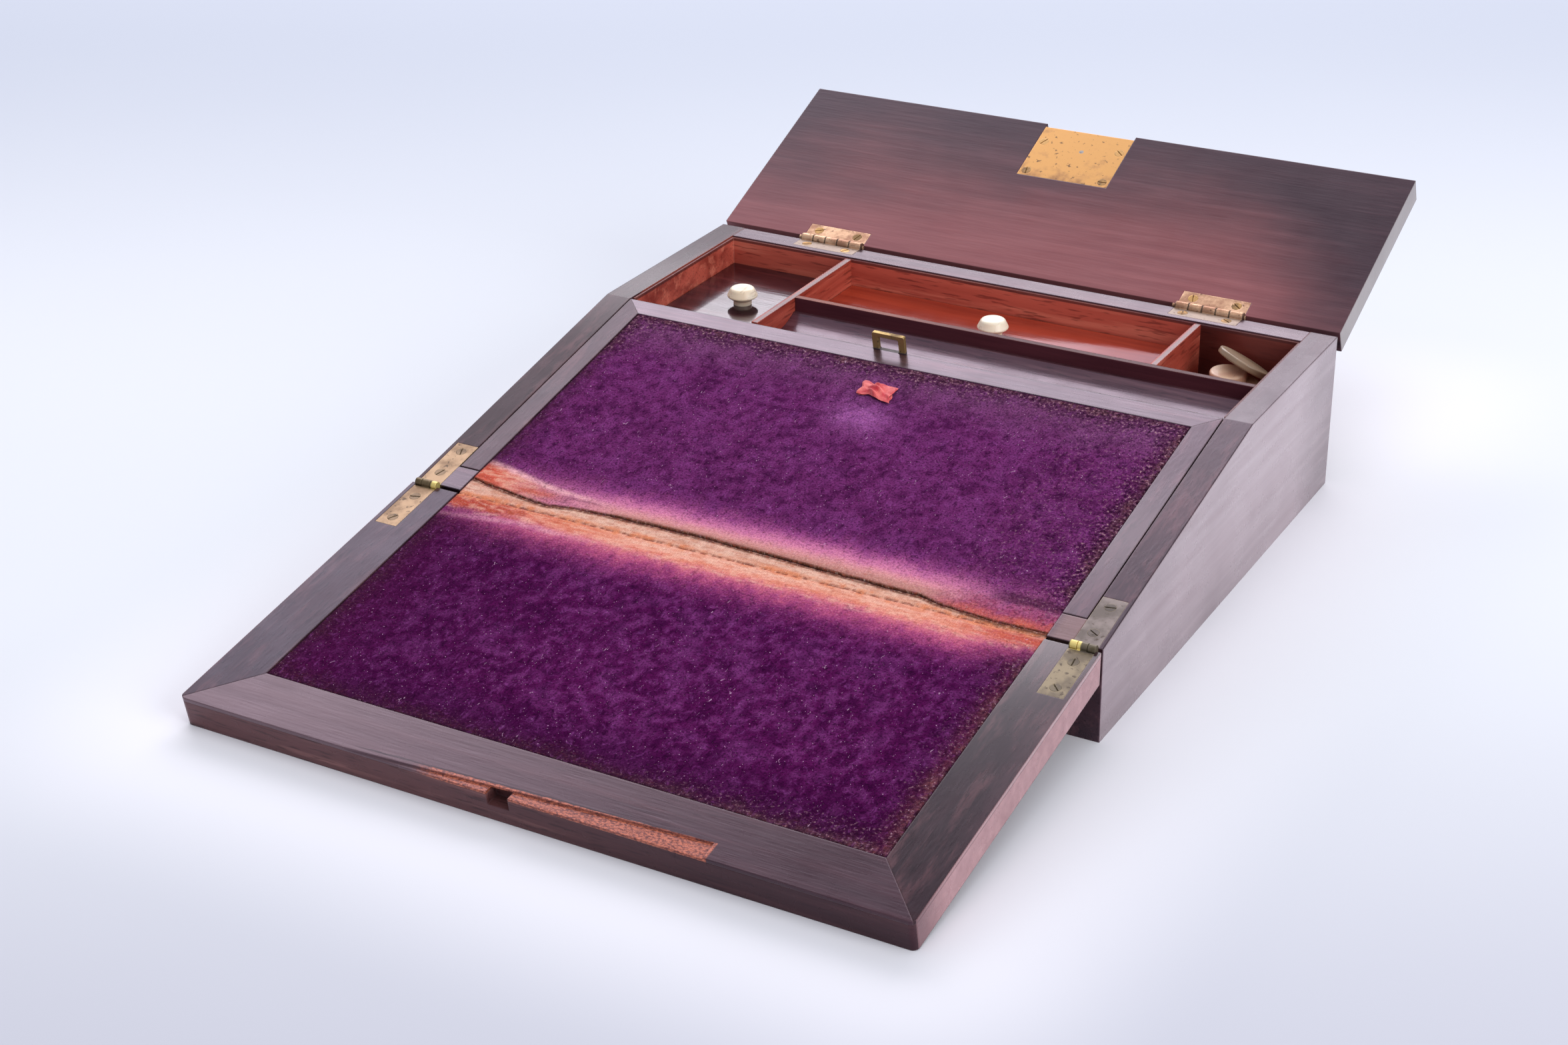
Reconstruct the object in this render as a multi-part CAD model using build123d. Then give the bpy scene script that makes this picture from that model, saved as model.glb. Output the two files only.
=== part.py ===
"""Writing slope: a wedge-shaped box with a rear stationery well, a lid and two hinged writing flaps.

Everything is drawn from the case's front left bottom corner: x to the right, y to the back, z up.
save() then shifts it, so that the origin is the middle of the case's underside.
Three moving groups are drawn in frames of their own: on_slope() carries the upper writing flap,
on_flap() the lower flap about its hinge pin, and on_lid() turns the closed lid open about its pin.
"""
import os
from math import asin, atan2, cos, degrees, hypot, sin, tan

from build123d import *

# ---- the case -------------------------------------------------------------------------------
WIDTH = 305.0              # outer width of the case
DEPTH = 249.0              # outer depth of the case
FRONT_HEIGHT = 39.0        # height of the front top edge
RIM_HEIGHT = 69.0          # height of the flat rim round the rear well
SIDE_T = 12.2              # thickness of the side boards
FRONT_T = 13.5             # thickness of the front board
BACK_T = 11.5              # thickness of the back board
BOTTOM_T = 5.0             # thickness of the bottom board
REBATE = 6.0               # how far the bottom board reaches into the walls
LINING_T = 1.0             # thin lining of the rear well
LINING_DROP = 0.6          # lining and partitions stop this far below the rim
EDGE_R = 0.5               # worn round on the long outer edges

# ---- the rear well --------------------------------------------------------------------------
BULKHEAD_T = 6.0           # wall between the storage space and the rear well
WELL_SETBACK = 2.5         # front of the rear well behind the knee, where slope meets rim
PARTITION_T = 3.0
LEFT_CELL = 60.1           # clear width of the left cell
RIGHT_CELL = 44.0          # clear width of the right cell
PEN_TRAY_W = 33.5          # clear depth of the pen tray, front to back
PEN_TRAY_T = 9.5           # thickness of the pen tray's block
PEN_TRAY_DROP = 7.0        # tray's lips below the rim
PEN_COVE = 4.2             # depth of the tray's round hollow
PEN_LIP = 1.6              # flat lip each side of the hollow
COVER_DROP = 13.0          # top of the lifting covers below the rim
COVER_T = 3.0
COVER_GAP = 0.4            # clearance round a cover
SEAT_GAP = 0.3             # a moving piece stands this far off its seat
LEDGE = 3.2                # ledge strips under the covers
RIGHT_FLOOR_DROP = 25.0    # floor of the right cell below the rim
RIGHT_FLOOR_T = 3.0
KNOB_R = 7.2               # turned bone knob, at the widest of its head
KNOB_STEM_R = 4.2
KNOB_STEM_H = 1.9          # stem between the cover and the head
KNOB_RIM_Z = 3.9           # widest of the head above the cover
KNOB_CROWN_R = 5.2         # top of the head, before its edge is rounded
KNOB_HEIGHT = 7.9
KNOB_SPIGOT_R = 2.0
KNOB_RIM_ROUND = 0.8
KNOB_CROWN_ROUND = 1.8

# ---- writing flaps --------------------------------------------------------------------------
BAND_T = 1.6               # mitred banding round the writing surface
CLOTH_T = 1.4              # velvet let in between the banding
SIDE_BAND = 22.3           # width of the side banding, measured from the case's side
UPPER_T = 9.0              # thickness of the upper flap
UPPER_SIDE_GAP = 0.5       # upper flap to case side
UPPER_END_GAP = 0.6        # upper flap to front board
TOP_BAND = 9.6             # banding along the upper flap's top edge
TOP_END_GAP = 0.25         # upper flap stops short of the knee
BEARER = 5.0               # fillets that carry the upper flap
LOWER_T = 12.8             # thickness of the lower flap
LOWER_LENGTH = 150.0       # length of the lower flap, hinge edge to free edge
FLAP_END_GAP = 1.0         # folded lower flap stops this far short of the knee
FREE_BAND = 24.0           # banding along the lower flap's free edge
CORNER_R = 2.5             # round of the lower flap's free corners
PIN_OUT = 1.5              # flap's hinge pin in front of the case's top edge
PIN_LIFT = 0.4             # flap's hinge pin above the writing surface
PIN_EDGE = 0.5             # flap's hinge pin to the flap's own edge
FLOOR_GAP = 0.1            # free edge of the open flap above the table
CHIP_DEPTH = 0.7           # long splinter lost from the free edge's banding
CHIP_START_X = 76.0
CHIP_END_X = 226.0
CHIP_WIDTH = 8.0

# ---- flap hinges ----------------------------------------------------------------------------
LEAF_W = 10.2              # width of a flap hinge
LEAF_IN = 2.0              # hinge set in from the case's outer side
LEAF_LENGTH = 29.5         # leaf length from the pin
LEAF_T = 1.3
FLAP_BARREL_R = 1.7
FLAP_PIN_R = 0.8
MID_KNUCKLE = 3.8          # the flap's knuckle, between the two of the case
PIN_CLEAR = 0.07           # running clearance round a hinge pin
KNUCKLE_GAP = 0.3          # gap between knuckles, and round a barrel in the wood
SCREW_R = 2.3              # countersunk head of a hinge screw
SCREW_SHANK_R = 1.0
SCREW_LENGTH = 7.0
SCREW_HEAD = 1.2           # depth of the countersink
SLOT_W = 0.6
SLOT_DEPTH = 0.5
SLOT_TURN = 40             # degrees from one screw's slot to the next

# ---- lid ------------------------------------------------------------------------------------
LID_T = 11.2
LID_GAP = 0.3              # lid above the rim when it is closed
LID_OPEN = 157.2           # degrees from closed to its stop
LID_PIN_OUT = 1.5          # pin behind the case's back
LID_BARREL_R = 2.2
LID_PIN_R = 1.0
LID_PIN_PROUD = 1.6        # pin end proud of the barrel at the left
LID_HINGE_IN = 43.1        # hinge in from the case's outer side
LID_HINGE_LENGTH = 31.2
LID_KNUCKLES = 5
LID_LEAF_W = 8.4           # leaf width from the case's back
LID_LEAF_T = 1.2

# ---- lock, in the lid's front edge ----------------------------------------------------------
CATCH_LEFT = 10.0          # bolt, staple and mortise left of the case's middle
LOCK_LEFT = 17.9           # lock plate's left edge, left of the bolt's middle
LOCK_PLATE_W = 45.4
LOCK_PLATE_L = 35.0
LOCK_PLATE_T = 1.4
NOTCH = 2.3                # lid's front edge is cut back this far over the lock
LOCK_BODY_MARGIN = 4.6     # plate beyond the lock's body at the sides
LOCK_BODY_END = 4.5        # plate beyond the lock's body at the back
LOCK_BODY_H = 6.4
LOCK_WALL = 1.1
BOLT_W = 8.0
BOLT_T = 2.6
BOLT_LENGTH = 22.0
BOLT_THROW = 7.5
BOLT_LIFT = 2.2            # underside of the bolt above the rim, lid closed
BOLT_CLEAR = 0.35
KEY_PIN_RIGHT = 6.1        # key pin right of the bolt's middle
KEY_PIN_BACK = 13.5        # key pin behind the plate's front edge
KEY_PIN_R = 1.1
SPRING_T = 0.5
ESCUTCHEON_R = 6.5
ESCUTCHEON_T = 1.2
KEYHOLE_R = 2.1
KEYHOLE_SLOT = 2.2
KEYHOLE_DROP = 6.0

# ---- staple on the upper flap, ribbon pull ---------------------------------------------------
STAPLE_W = 15.2
STAPLE_BAR = 2.8
STAPLE_T = 1.8
STAPLE_HEIGHT = 8.2
STAPLE_TOP_BAR = 1.8
STAPLE_PLATE = 7.0         # plate below the surface, on the flap's end
STAPLE_GAP = 0.4           # staple behind the folded lower flap's end
STAPLE_PIN_R = 0.9
MORTISE_CLEAR = 0.6        # room round the bolt in the lower flap's end
MORTISE_DEPTH = 6.0
MORTISE_TOP = 0.7          # mortise below the lower flap's surface
MORTISE_H = 5.4
RIBBON_LEFT = 0.5          # middle of the ribbon pull left of the case's middle
RIBBON_BELOW = 19.6        # middle of the ribbon pull below the top banding
RIBBON_W = 15.0
RIBBON_D = 7.5
RIBBON_PROUD = 0.45

# ---- loose counters in the right cell: radius and thickness, as shares of half the cell ------
LARGE_COUNTER = (0.57, 0.236)
SECOND_COUNTER = (0.536, 0.21)
SMALL_COUNTER = (0.364, 0.2)
LEANING_COUNTER = (0.545, 0.13)
COUNTER_ROUND = 0.25       # edge round, as a share of the thickness
LEAN_GAP = 0.055           # leaning counter's middle above the pile
LEAN_X = -24               # degrees that the leaning counter tips, about x and about y
LEAN_Y = 21.5

# ---- worked out from the above --------------------------------------------------------------
SLOPE_LENGTH = LOWER_LENGTH - PIN_OUT + PIN_EDGE + FLAP_END_GAP
SLOPE = asin((RIM_HEIGHT - FRONT_HEIGHT) / SLOPE_LENGTH)
KNEE_Y = SLOPE_LENGTH * cos(SLOPE)
WELL_FRONT_Y = KNEE_Y + WELL_SETBACK
CATCH_X = WIDTH / 2 - CATCH_LEFT
LOCK_X = CATCH_X - LOCK_LEFT
KEY_PIN_X = CATCH_X + KEY_PIN_RIGHT
LID_HINGE_X = (LID_HINGE_IN, WIDTH - LID_HINGE_IN - LID_HINGE_LENGTH)
INNER_X0 = SIDE_T
INNER_X1 = WIDTH - SIDE_T
WELL_X0 = INNER_X0 + LINING_T
WELL_X1 = INNER_X1 - LINING_T
WELL_BACK_Y = DEPTH - BACK_T - LINING_T
WELL_TOP = RIM_HEIGHT - LINING_DROP
LEFT_PART_X = WELL_X0 + LEFT_CELL
RIGHT_PART_X = WELL_X1 - RIGHT_CELL - PARTITION_T
DIVIDER_Y = WELL_FRONT_Y + PEN_TRAY_W
BULKHEAD_Y = WELL_FRONT_Y - BULKHEAD_T
COVER_TOP = RIM_HEIGHT - COVER_DROP
RIGHT_FLOOR = RIM_HEIGHT - RIGHT_FLOOR_DROP
RAIL_S = FRONT_T / cos(SLOPE)
UPPER_S0 = RAIL_S + UPPER_END_GAP
UPPER_S1 = SLOPE_LENGTH - TOP_END_GAP
UPPER_X0 = INNER_X0 + UPPER_SIDE_GAP
UPPER_X1 = INNER_X1 - UPPER_SIDE_GAP
CLOTH_X0 = SIDE_BAND
CLOTH_X1 = WIDTH - SIDE_BAND
UPPER_CLOTH_S1 = UPPER_S1 - TOP_BAND
RIBBON_X = WIDTH / 2 - RIBBON_LEFT
RIBBON_S = UPPER_CLOTH_S1 - RIBBON_BELOW
LOWER_END = PIN_EDGE + LOWER_LENGTH
LOWER_CLOTH_END = LOWER_END - FREE_BAND
PIN_Y = -PIN_OUT * cos(SLOPE) - PIN_LIFT * sin(SLOPE)
PIN_Z = FRONT_HEIGHT - PIN_OUT * sin(SLOPE) + PIN_LIFT * cos(SLOPE)
FREE_CORNER = hypot(LOWER_END, LOWER_T + PIN_LIFT)
FLAP_DROP = asin((PIN_Z - FLOOR_GAP) / FREE_CORNER) - atan2(LOWER_T + PIN_LIFT, LOWER_END)
LID_FRONT_Y = KNEE_Y
LID_PIN_Y = DEPTH + LID_PIN_OUT
LID_PIN_Z = RIM_HEIGHT + LID_GAP / 2
LID_Z0 = RIM_HEIGHT + LID_GAP
LID_Z1 = LID_Z0 + LID_T
LOCK_Y0 = LID_FRONT_Y + NOTCH
LOCK_Y1 = LOCK_Y0 + LOCK_PLATE_L
LOCK_X1 = LOCK_X + LOCK_PLATE_W
BOLT_Z = RIM_HEIGHT + BOLT_LIFT
FOLDED_END_S = LOWER_LENGTH - PIN_OUT + PIN_EDGE
STAPLE_S0 = FOLDED_END_S + STAPLE_GAP
FAR = 400.0                # longer than anything, for cutting tools
os.makedirs("parts", exist_ok=True)


# ---- drawing helpers ------------------------------------------------------------------------
def block(x0, x1, y0, y1, z0, z1):
    """A box between two corners."""
    size = Box(x1 - x0, y1 - y0, z1 - z0)
    return Pos((x0 + x1) / 2, (y0 + y1) / 2, (z0 + z1) / 2) * size


def bar_x(radius, x0, x1, y, z):
    """A round bar along x."""
    return Pos((x0 + x1) / 2, y, z) * Rot(0, 90, 0) * Cylinder(radius, x1 - x0)


def post_z(radius, x, y, z0, z1):
    """A round bar along z."""
    return Pos(x, y, (z0 + z1) / 2) * Cylinder(radius, z1 - z0)


def cone_z(r0, r1, z0, z1):
    """A cone about the z axis, from one radius to another."""
    return Pos(0, 0, (z0 + z1) / 2) * Cone(r0, r1, z1 - z0)


def profile_x(points, x0, x1):
    """An outline in y and z, carried along x."""
    face = Plane.YZ.offset(x0) * Polygon(*points, align=None)
    return extrude(face, amount=x1 - x0, dir=(1, 0, 0))


def plan(points, z0, z1):
    """An outline in x and y, carried up z."""
    face = Plane.XY.offset(z0) * Polygon(*points, align=None)
    return extrude(face, amount=z1 - z0, dir=(0, 0, 1))


def on_slope(shape):
    """Slope frame: y runs up the writing slope from the case's front top edge, z stands off it."""
    return Pos(0, 0, FRONT_HEIGHT) * Rot(degrees(SLOPE), 0, 0) * shape


def on_flap(shape):
    """Lower flap frame: the hinge pin is the origin, the flap lies along -y and drops to the table."""
    return Pos(0, PIN_Y, PIN_Z) * Rot(degrees(FLAP_DROP), 0, 0) * shape


def on_lid(shape):
    """The closed lid and all it carries, turned open about the lid's pin."""
    back = Pos(0, -LID_PIN_Y, -LID_PIN_Z)
    return Pos(0, LID_PIN_Y, LID_PIN_Z) * Rot(-LID_OPEN, 0, 0) * back * shape


def soften(shape, keep):
    """Round the edges that keep() picks."""
    return fillet([edge for edge in shape.edges() if keep(edge)], EDGE_R)


def screw():
    """A slotted countersunk screw, head flush with z = 0 and point down, and the hole that it fills."""
    head = Pos(0, 0, -SCREW_HEAD / 2) * Cone(SCREW_SHANK_R, SCREW_R, SCREW_HEAD)
    shank = post_z(SCREW_SHANK_R, 0, 0, -SCREW_LENGTH, -SCREW_HEAD)
    hole = head + shank
    return hole - block(-SCREW_R, SCREW_R, -SLOT_W / 2, SLOT_W / 2, -SLOT_DEPTH, 1), hole


def screws_at(places, flip=False, turn=25):
    """Screws at places (x, y, z) with their slots turned about, and the holes that they fill."""
    made, holes = [], []
    for index, (x, y, z) in enumerate(places):
        spin = Rot(0, 0, turn + SLOT_TURN * index)
        place = Pos(x, y, z) * (Rot(180, 0, 0) if flip else Rot(0, 0, 0)) * spin
        piece, hole = screw()
        made.append(place * piece)
        holes.append(place * hole)
    return made, holes


def save(name, *shapes):
    """Write one node, moved so that the origin is the middle of the case's underside."""
    solids = [solid for shape in shapes for solid in shape.solids()]
    moved = [Pos(-WIDTH / 2, -DEPTH / 2, 0) * solid for solid in solids]
    export_step(moved[0] if len(moved) == 1 else Compound(moved), f"parts/{name}.step")


# ---- hinges ---------------------------------------------------------------------------------
def flap_hinge(x0):
    """Long-leaf hinge: case leaf with two knuckles, flap leaf with one, both in pin-centred frames."""
    x1 = x0 + LEAF_W
    side = (LEAF_W - MID_KNUCKLE) / 2 - KNUCKLE_GAP
    mid0, mid1 = x0 + side + KNUCKLE_GAP, x1 - side - KNUCKLE_GAP
    top = -PIN_LIFT
    start = FLAP_BARREL_R + KNUCKLE_GAP
    room = bar_x(FLAP_BARREL_R + KNUCKLE_GAP, x0, x1, 0, 0)
    case_leaf = block(x0, x1, start, LEAF_LENGTH, top - LEAF_T, top)
    flap_leaf = block(x0, x1, -LEAF_LENGTH, -start, top - LEAF_T, top)
    for a, b in ((x0, x0 + side), (x1 - side, x1)):
        case_leaf += bar_x(FLAP_BARREL_R, a, b, 0, 0)
        case_leaf += block(a, b, 0, start, top - LEAF_T, top)
    flap_leaf += bar_x(FLAP_BARREL_R, mid0, mid1, 0, 0)
    flap_leaf += block(mid0, mid1, -start, 0, top - LEAF_T, top)
    case_leaf -= bar_x(FLAP_PIN_R, x0, x1, 0, 0)
    flap_leaf -= bar_x(FLAP_PIN_R + PIN_CLEAR, x0, x1, 0, 0)
    pin = bar_x(FLAP_PIN_R, x0, x1, 0, 0)
    return case_leaf, flap_leaf, pin, room


def lid_hinge(x0):
    """Butt hinge of the lid in its closed position, about the lid's pin."""
    pitch = (LID_HINGE_LENGTH + KNUCKLE_GAP) / LID_KNUCKLES
    x1 = x0 + LID_HINGE_LENGTH
    y, z = LID_PIN_Y, LID_PIN_Z
    leaf_y = DEPTH - LID_LEAF_W
    clear_y = y - LID_BARREL_R - KNUCKLE_GAP
    case_leaf = block(x0, x1, leaf_y, clear_y, RIM_HEIGHT - LID_LEAF_T, RIM_HEIGHT)
    lid_leaf = block(x0, x1, leaf_y, clear_y, LID_Z0, LID_Z0 + LID_LEAF_T)
    for index in range(LID_KNUCKLES):
        a = x0 + index * pitch
        b = a + pitch - KNUCKLE_GAP
        if index % 2 == 0:
            case_leaf += bar_x(LID_BARREL_R, a, b, y, z)
            case_leaf += block(a, b, clear_y, y, RIM_HEIGHT - LID_LEAF_T, RIM_HEIGHT)
        else:
            lid_leaf += bar_x(LID_BARREL_R, a, b, y, z)
            lid_leaf += block(a, b, clear_y, y, LID_Z0, LID_Z0 + LID_LEAF_T)
    case_leaf -= bar_x(LID_PIN_R, x0, x1, y, z)
    lid_leaf -= bar_x(LID_PIN_R + PIN_CLEAR, x0, x1, y, z)
    pin = bar_x(LID_PIN_R, x0 - LID_PIN_PROUD, x1 + LID_PIN_PROUD / 2, y, z)
    room = bar_x(LID_BARREL_R + KNUCKLE_GAP, x0, x1, y, z)
    return case_leaf, lid_leaf, pin, room


flap_hinge_x = (LEAF_IN, WIDTH - LEAF_IN - LEAF_W)
flap_hinges = [flap_hinge(x) for x in flap_hinge_x]
lid_hinges = [lid_hinge(x) for x in LID_HINGE_X]


def pin_on_slope(shape):
    """From the flap's pin-centred frame to the slope frame, for what is fixed to the case."""
    return Pos(0, -PIN_OUT, PIN_LIFT) * shape


# screws of the flap hinges, each leaf with one near the knuckle and one near its end
NEAR_SCREW = 9.0
FAR_SCREW = 24.5
case_screw_places = []
flap_screw_places = []
for x in flap_hinge_x:
    for reach in (NEAR_SCREW, FAR_SCREW):
        case_screw_places.append((x + LEAF_W / 2, reach, -PIN_LIFT))
        flap_screw_places.append((x + LEAF_W / 2, -reach, -PIN_LIFT))
case_screws, case_screw_holes = screws_at(case_screw_places, turn=70)
flap_screws, flap_screw_holes = screws_at(flap_screw_places, turn=15)
case_leaves = [hinge[0] - case_screw_holes for hinge in flap_hinges]
flap_leaves = [hinge[1] - flap_screw_holes for hinge in flap_hinges]

# screws of the lid hinges, two to a leaf
LID_SCREW_IN = 5.5
LID_SCREW_BACK = 3.6
rim_screw_places = []
lid_screw_places = []
for x in LID_HINGE_X:
    for dx in (LID_SCREW_IN, LID_HINGE_LENGTH - LID_SCREW_IN):
        rim_screw_places.append((x + dx, DEPTH - LID_LEAF_W + LID_SCREW_BACK, RIM_HEIGHT))
        lid_screw_places.append((x + dx, DEPTH - LID_LEAF_W + LID_SCREW_BACK, LID_Z0))
rim_screws, rim_screw_holes = screws_at(rim_screw_places)
lid_screws, lid_screw_holes = screws_at(lid_screw_places, flip=True)
rim_leaves = [hinge[0] - rim_screw_holes for hinge in lid_hinges]
lid_leaves = [hinge[1] - lid_screw_holes for hinge in lid_hinges]


# ---- case boards ----------------------------------------------------------------------------
def outer_top_edge(edge):
    """Long edges of the case's top, sides and corners, but none at the bottom."""
    return edge.center().Z > BOTTOM_T and edge.length > BOTTOM_T * 3


bottom_room = block(INNER_X0 - REBATE, INNER_X1 + REBATE, FRONT_T - REBATE,
                    DEPTH - BACK_T + REBATE, -1, BOTTOM_T)
leaf_room = [on_slope(pin_on_slope(block(x, x + LEAF_W, 0, LEAF_LENGTH,
                                         -PIN_LIFT - LEAF_T, LEAF_T)))
             for x in flap_hinge_x]
barrel_room = [on_slope(pin_on_slope(hinge[3])) for hinge in flap_hinges]
slope_screw_holes = [on_slope(pin_on_slope(hole)) for hole in case_screw_holes]
rim_room = [block(x, x + LID_HINGE_LENGTH, DEPTH - LID_LEAF_W, DEPTH + 1,
                  RIM_HEIGHT - LID_LEAF_T, RIM_HEIGHT + 1) for x in LID_HINGE_X]
rim_barrel_room = [hinge[3] for hinge in lid_hinges]


def case_side(x0, outer_x):
    """Wedge-shaped side board with a flat rear rim, rounded along its outer top edges."""
    outline = [(0, 0), (DEPTH, 0), (DEPTH, RIM_HEIGHT), (KNEE_Y, RIM_HEIGHT), (0, FRONT_HEIGHT)]
    board = profile_x(outline, x0, x0 + SIDE_T)
    board = soften(board, lambda e: abs(e.center().X - outer_x) < 0.01 and outer_top_edge(e))
    return board - bottom_room - leaf_room - barrel_room - slope_screw_holes


left_side = case_side(0, 0)
right_side = case_side(INNER_X1, WIDTH)

front_outline = [(0, 0), (FRONT_T, 0), (FRONT_T, FRONT_HEIGHT + FRONT_T * tan(SLOPE)),
                 (0, FRONT_HEIGHT)]
rail_cloth_bed = on_slope(block(CLOTH_X0, CLOTH_X1, -FRONT_T, 2 * FRONT_T, -BAND_T, FRONT_T))
case_front = profile_x(front_outline, INNER_X0, INNER_X1) - bottom_room - rail_cloth_bed
rail_cloth = block(CLOTH_X0, CLOTH_X1, 0, RAIL_S, -BAND_T, -BAND_T + CLOTH_T)
rail_cloth = on_slope(rail_cloth) & block(0, WIDTH, EDGE_R, FRONT_T, 0, RIM_HEIGHT)

case_back = block(INNER_X0, INNER_X1, DEPTH - BACK_T, DEPTH, 0, RIM_HEIGHT)
case_back = soften(case_back, lambda e: e.center().Y > DEPTH - 0.01 and outer_top_edge(e)
                   and e.center().Z > RIM_HEIGHT - 1)
case_back = case_back - bottom_room - rim_room - rim_barrel_room - rim_screw_holes
case_bottom = block(INNER_X0 - REBATE, INNER_X1 + REBATE, FRONT_T - REBATE,
                    DEPTH - BACK_T + REBATE, 0, BOTTOM_T)

save("case_left_side", left_side)
save("case_right_side", right_side)
save("case_front", case_front)
save("case_back", case_back)
save("case_bottom", case_bottom)
save("front_rail_velvet", rail_cloth)


# ---- inside the case ------------------------------------------------------------------------
def slope_z(y, below):
    """Height of a plane that runs at a depth below the writing slope."""
    return FRONT_HEIGHT + y * tan(SLOPE) - below / cos(SLOPE)


flap_seat = UPPER_T + SEAT_GAP
bulkhead = profile_x([(BULKHEAD_Y, BOTTOM_T), (WELL_FRONT_Y, BOTTOM_T),
                      (WELL_FRONT_Y, slope_z(WELL_FRONT_Y, flap_seat)),
                      (BULKHEAD_Y, slope_z(BULKHEAD_Y, flap_seat))], INNER_X0, INNER_X1)
save("tray_bulkhead", bulkhead)

bearers = []
for x in (INNER_X0, INNER_X1 - BEARER):
    bearers.append(profile_x([(FRONT_T, slope_z(FRONT_T, flap_seat)),
                              (FRONT_T, slope_z(FRONT_T, flap_seat + BEARER)),
                              (BULKHEAD_Y, slope_z(BULKHEAD_Y, flap_seat + BEARER)),
                              (BULKHEAD_Y, slope_z(BULKHEAD_Y, flap_seat))], x, x + BEARER))
save("flap_bearers", *bearers)

save("well_lining",
     block(INNER_X0, WELL_X0, WELL_FRONT_Y, DEPTH - BACK_T, BOTTOM_T, WELL_TOP),
     block(WELL_X1, INNER_X1, WELL_FRONT_Y, DEPTH - BACK_T, BOTTOM_T, WELL_TOP),
     block(WELL_X0, WELL_X1, WELL_BACK_Y, DEPTH - BACK_T, BOTTOM_T, WELL_TOP))
save("left_partition", block(LEFT_PART_X, LEFT_PART_X + PARTITION_T, WELL_FRONT_Y, WELL_BACK_Y,
                             BOTTOM_T, WELL_TOP))
save("tray_divider", block(LEFT_PART_X + PARTITION_T, WELL_X1, DIVIDER_Y, DIVIDER_Y + PARTITION_T,
                           BOTTOM_T, WELL_TOP))
save("right_partition", block(RIGHT_PART_X, RIGHT_PART_X + PARTITION_T, DIVIDER_Y + PARTITION_T,
                              WELL_BACK_Y, BOTTOM_T, WELL_TOP))

# pen tray: a block with a long round hollow
tray_top = RIM_HEIGHT - PEN_TRAY_DROP
half_cove = PEN_TRAY_W / 2 - PEN_LIP
cove_r = (half_cove ** 2 + PEN_COVE ** 2) / (2 * PEN_COVE)
tray_x0 = LEFT_PART_X + PARTITION_T
pen_tray = block(tray_x0, WELL_X1, WELL_FRONT_Y, DIVIDER_Y, tray_top - PEN_TRAY_T, tray_top)
pen_tray -= bar_x(cove_r, tray_x0 - 1, WELL_X1 + 1, WELL_FRONT_Y + PEN_TRAY_W / 2,
                  tray_top - PEN_COVE + cove_r)
save("pen_tray", pen_tray)


def cover(x0, x1, y0, y1):
    """A lifting cover board with a hole for its knob, and the turned bone knob."""
    x, y = (x0 + x1) / 2, (y0 + y1) / 2
    board = block(x0 + COVER_GAP, x1 - COVER_GAP, y0 + COVER_GAP, y1 - COVER_GAP,
                  COVER_TOP - COVER_T, COVER_TOP)
    board -= post_z(KNOB_SPIGOT_R, x, y, COVER_TOP - COVER_T, COVER_TOP)
    knob = post_z(KNOB_SPIGOT_R, 0, 0, -COVER_T, 0) + post_z(KNOB_STEM_R, 0, 0, 0, KNOB_STEM_H)
    head = cone_z(KNOB_STEM_R, KNOB_R, KNOB_STEM_H, KNOB_RIM_Z)
    head += cone_z(KNOB_R, KNOB_CROWN_R, KNOB_RIM_Z, KNOB_HEIGHT)
    head = fillet(head.edges().filter_by(GeomType.CIRCLE).sort_by(Axis.Z)[1], KNOB_RIM_ROUND)
    head = fillet(head.edges().filter_by(GeomType.CIRCLE).sort_by(Axis.Z)[-1], KNOB_CROWN_ROUND)
    knob = Pos(x, y, COVER_TOP) * (knob + head)
    return board, knob


left_cover, left_knob = cover(WELL_X0, LEFT_PART_X, WELL_FRONT_Y, WELL_BACK_Y)
middle_cover, middle_knob = cover(LEFT_PART_X + PARTITION_T, RIGHT_PART_X,
                                  DIVIDER_Y + PARTITION_T, WELL_BACK_Y)
save("left_cover", left_cover)
save("left_cover_knob", left_knob)
save("middle_cover", middle_cover)
save("middle_cover_knob", middle_knob)

ledge_top = COVER_TOP - COVER_T - SEAT_GAP
save("left_cover_ledges",
     *[block(x, x + LEDGE, WELL_FRONT_Y, WELL_BACK_Y, ledge_top - LEDGE, ledge_top)
       for x in (WELL_X0, LEFT_PART_X - LEDGE)])
save("middle_cover_ledges",
     *[block(LEFT_PART_X + PARTITION_T, RIGHT_PART_X, y, y + LEDGE, ledge_top - LEDGE, ledge_top)
       for y in (DIVIDER_Y + PARTITION_T, WELL_BACK_Y - LEDGE)])
save("right_cell_floor", block(RIGHT_PART_X + PARTITION_T, WELL_X1, DIVIDER_Y + PARTITION_T,
                               WELL_BACK_Y, RIGHT_FLOOR - RIGHT_FLOOR_T, RIGHT_FLOOR))


# ---- loose bone counters in the right cell --------------------------------------------------
cell_x = WELL_X1 - RIGHT_CELL / 2
cell_y = (DIVIDER_Y + PARTITION_T + WELL_BACK_Y) / 2
pile = min(RIGHT_CELL, WELL_BACK_Y - DIVIDER_Y - PARTITION_T) / 2


def counter(size, dx, dy, z, turn_x=0, turn_y=0):
    """A turned disc with softened edges, at a place in the right cell in half cells."""
    radius, thick = size[0] * pile, size[1] * pile
    disc = Pos(0, 0, thick / 2) * Cylinder(radius, thick)
    disc = fillet(disc.edges().filter_by(GeomType.CIRCLE), thick * COUNTER_ROUND)
    place = Pos(cell_x + dx * pile, cell_y + dy * pile, RIGHT_FLOOR + z * pile)
    return place * Rot(turn_x, turn_y, 0) * disc


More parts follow.
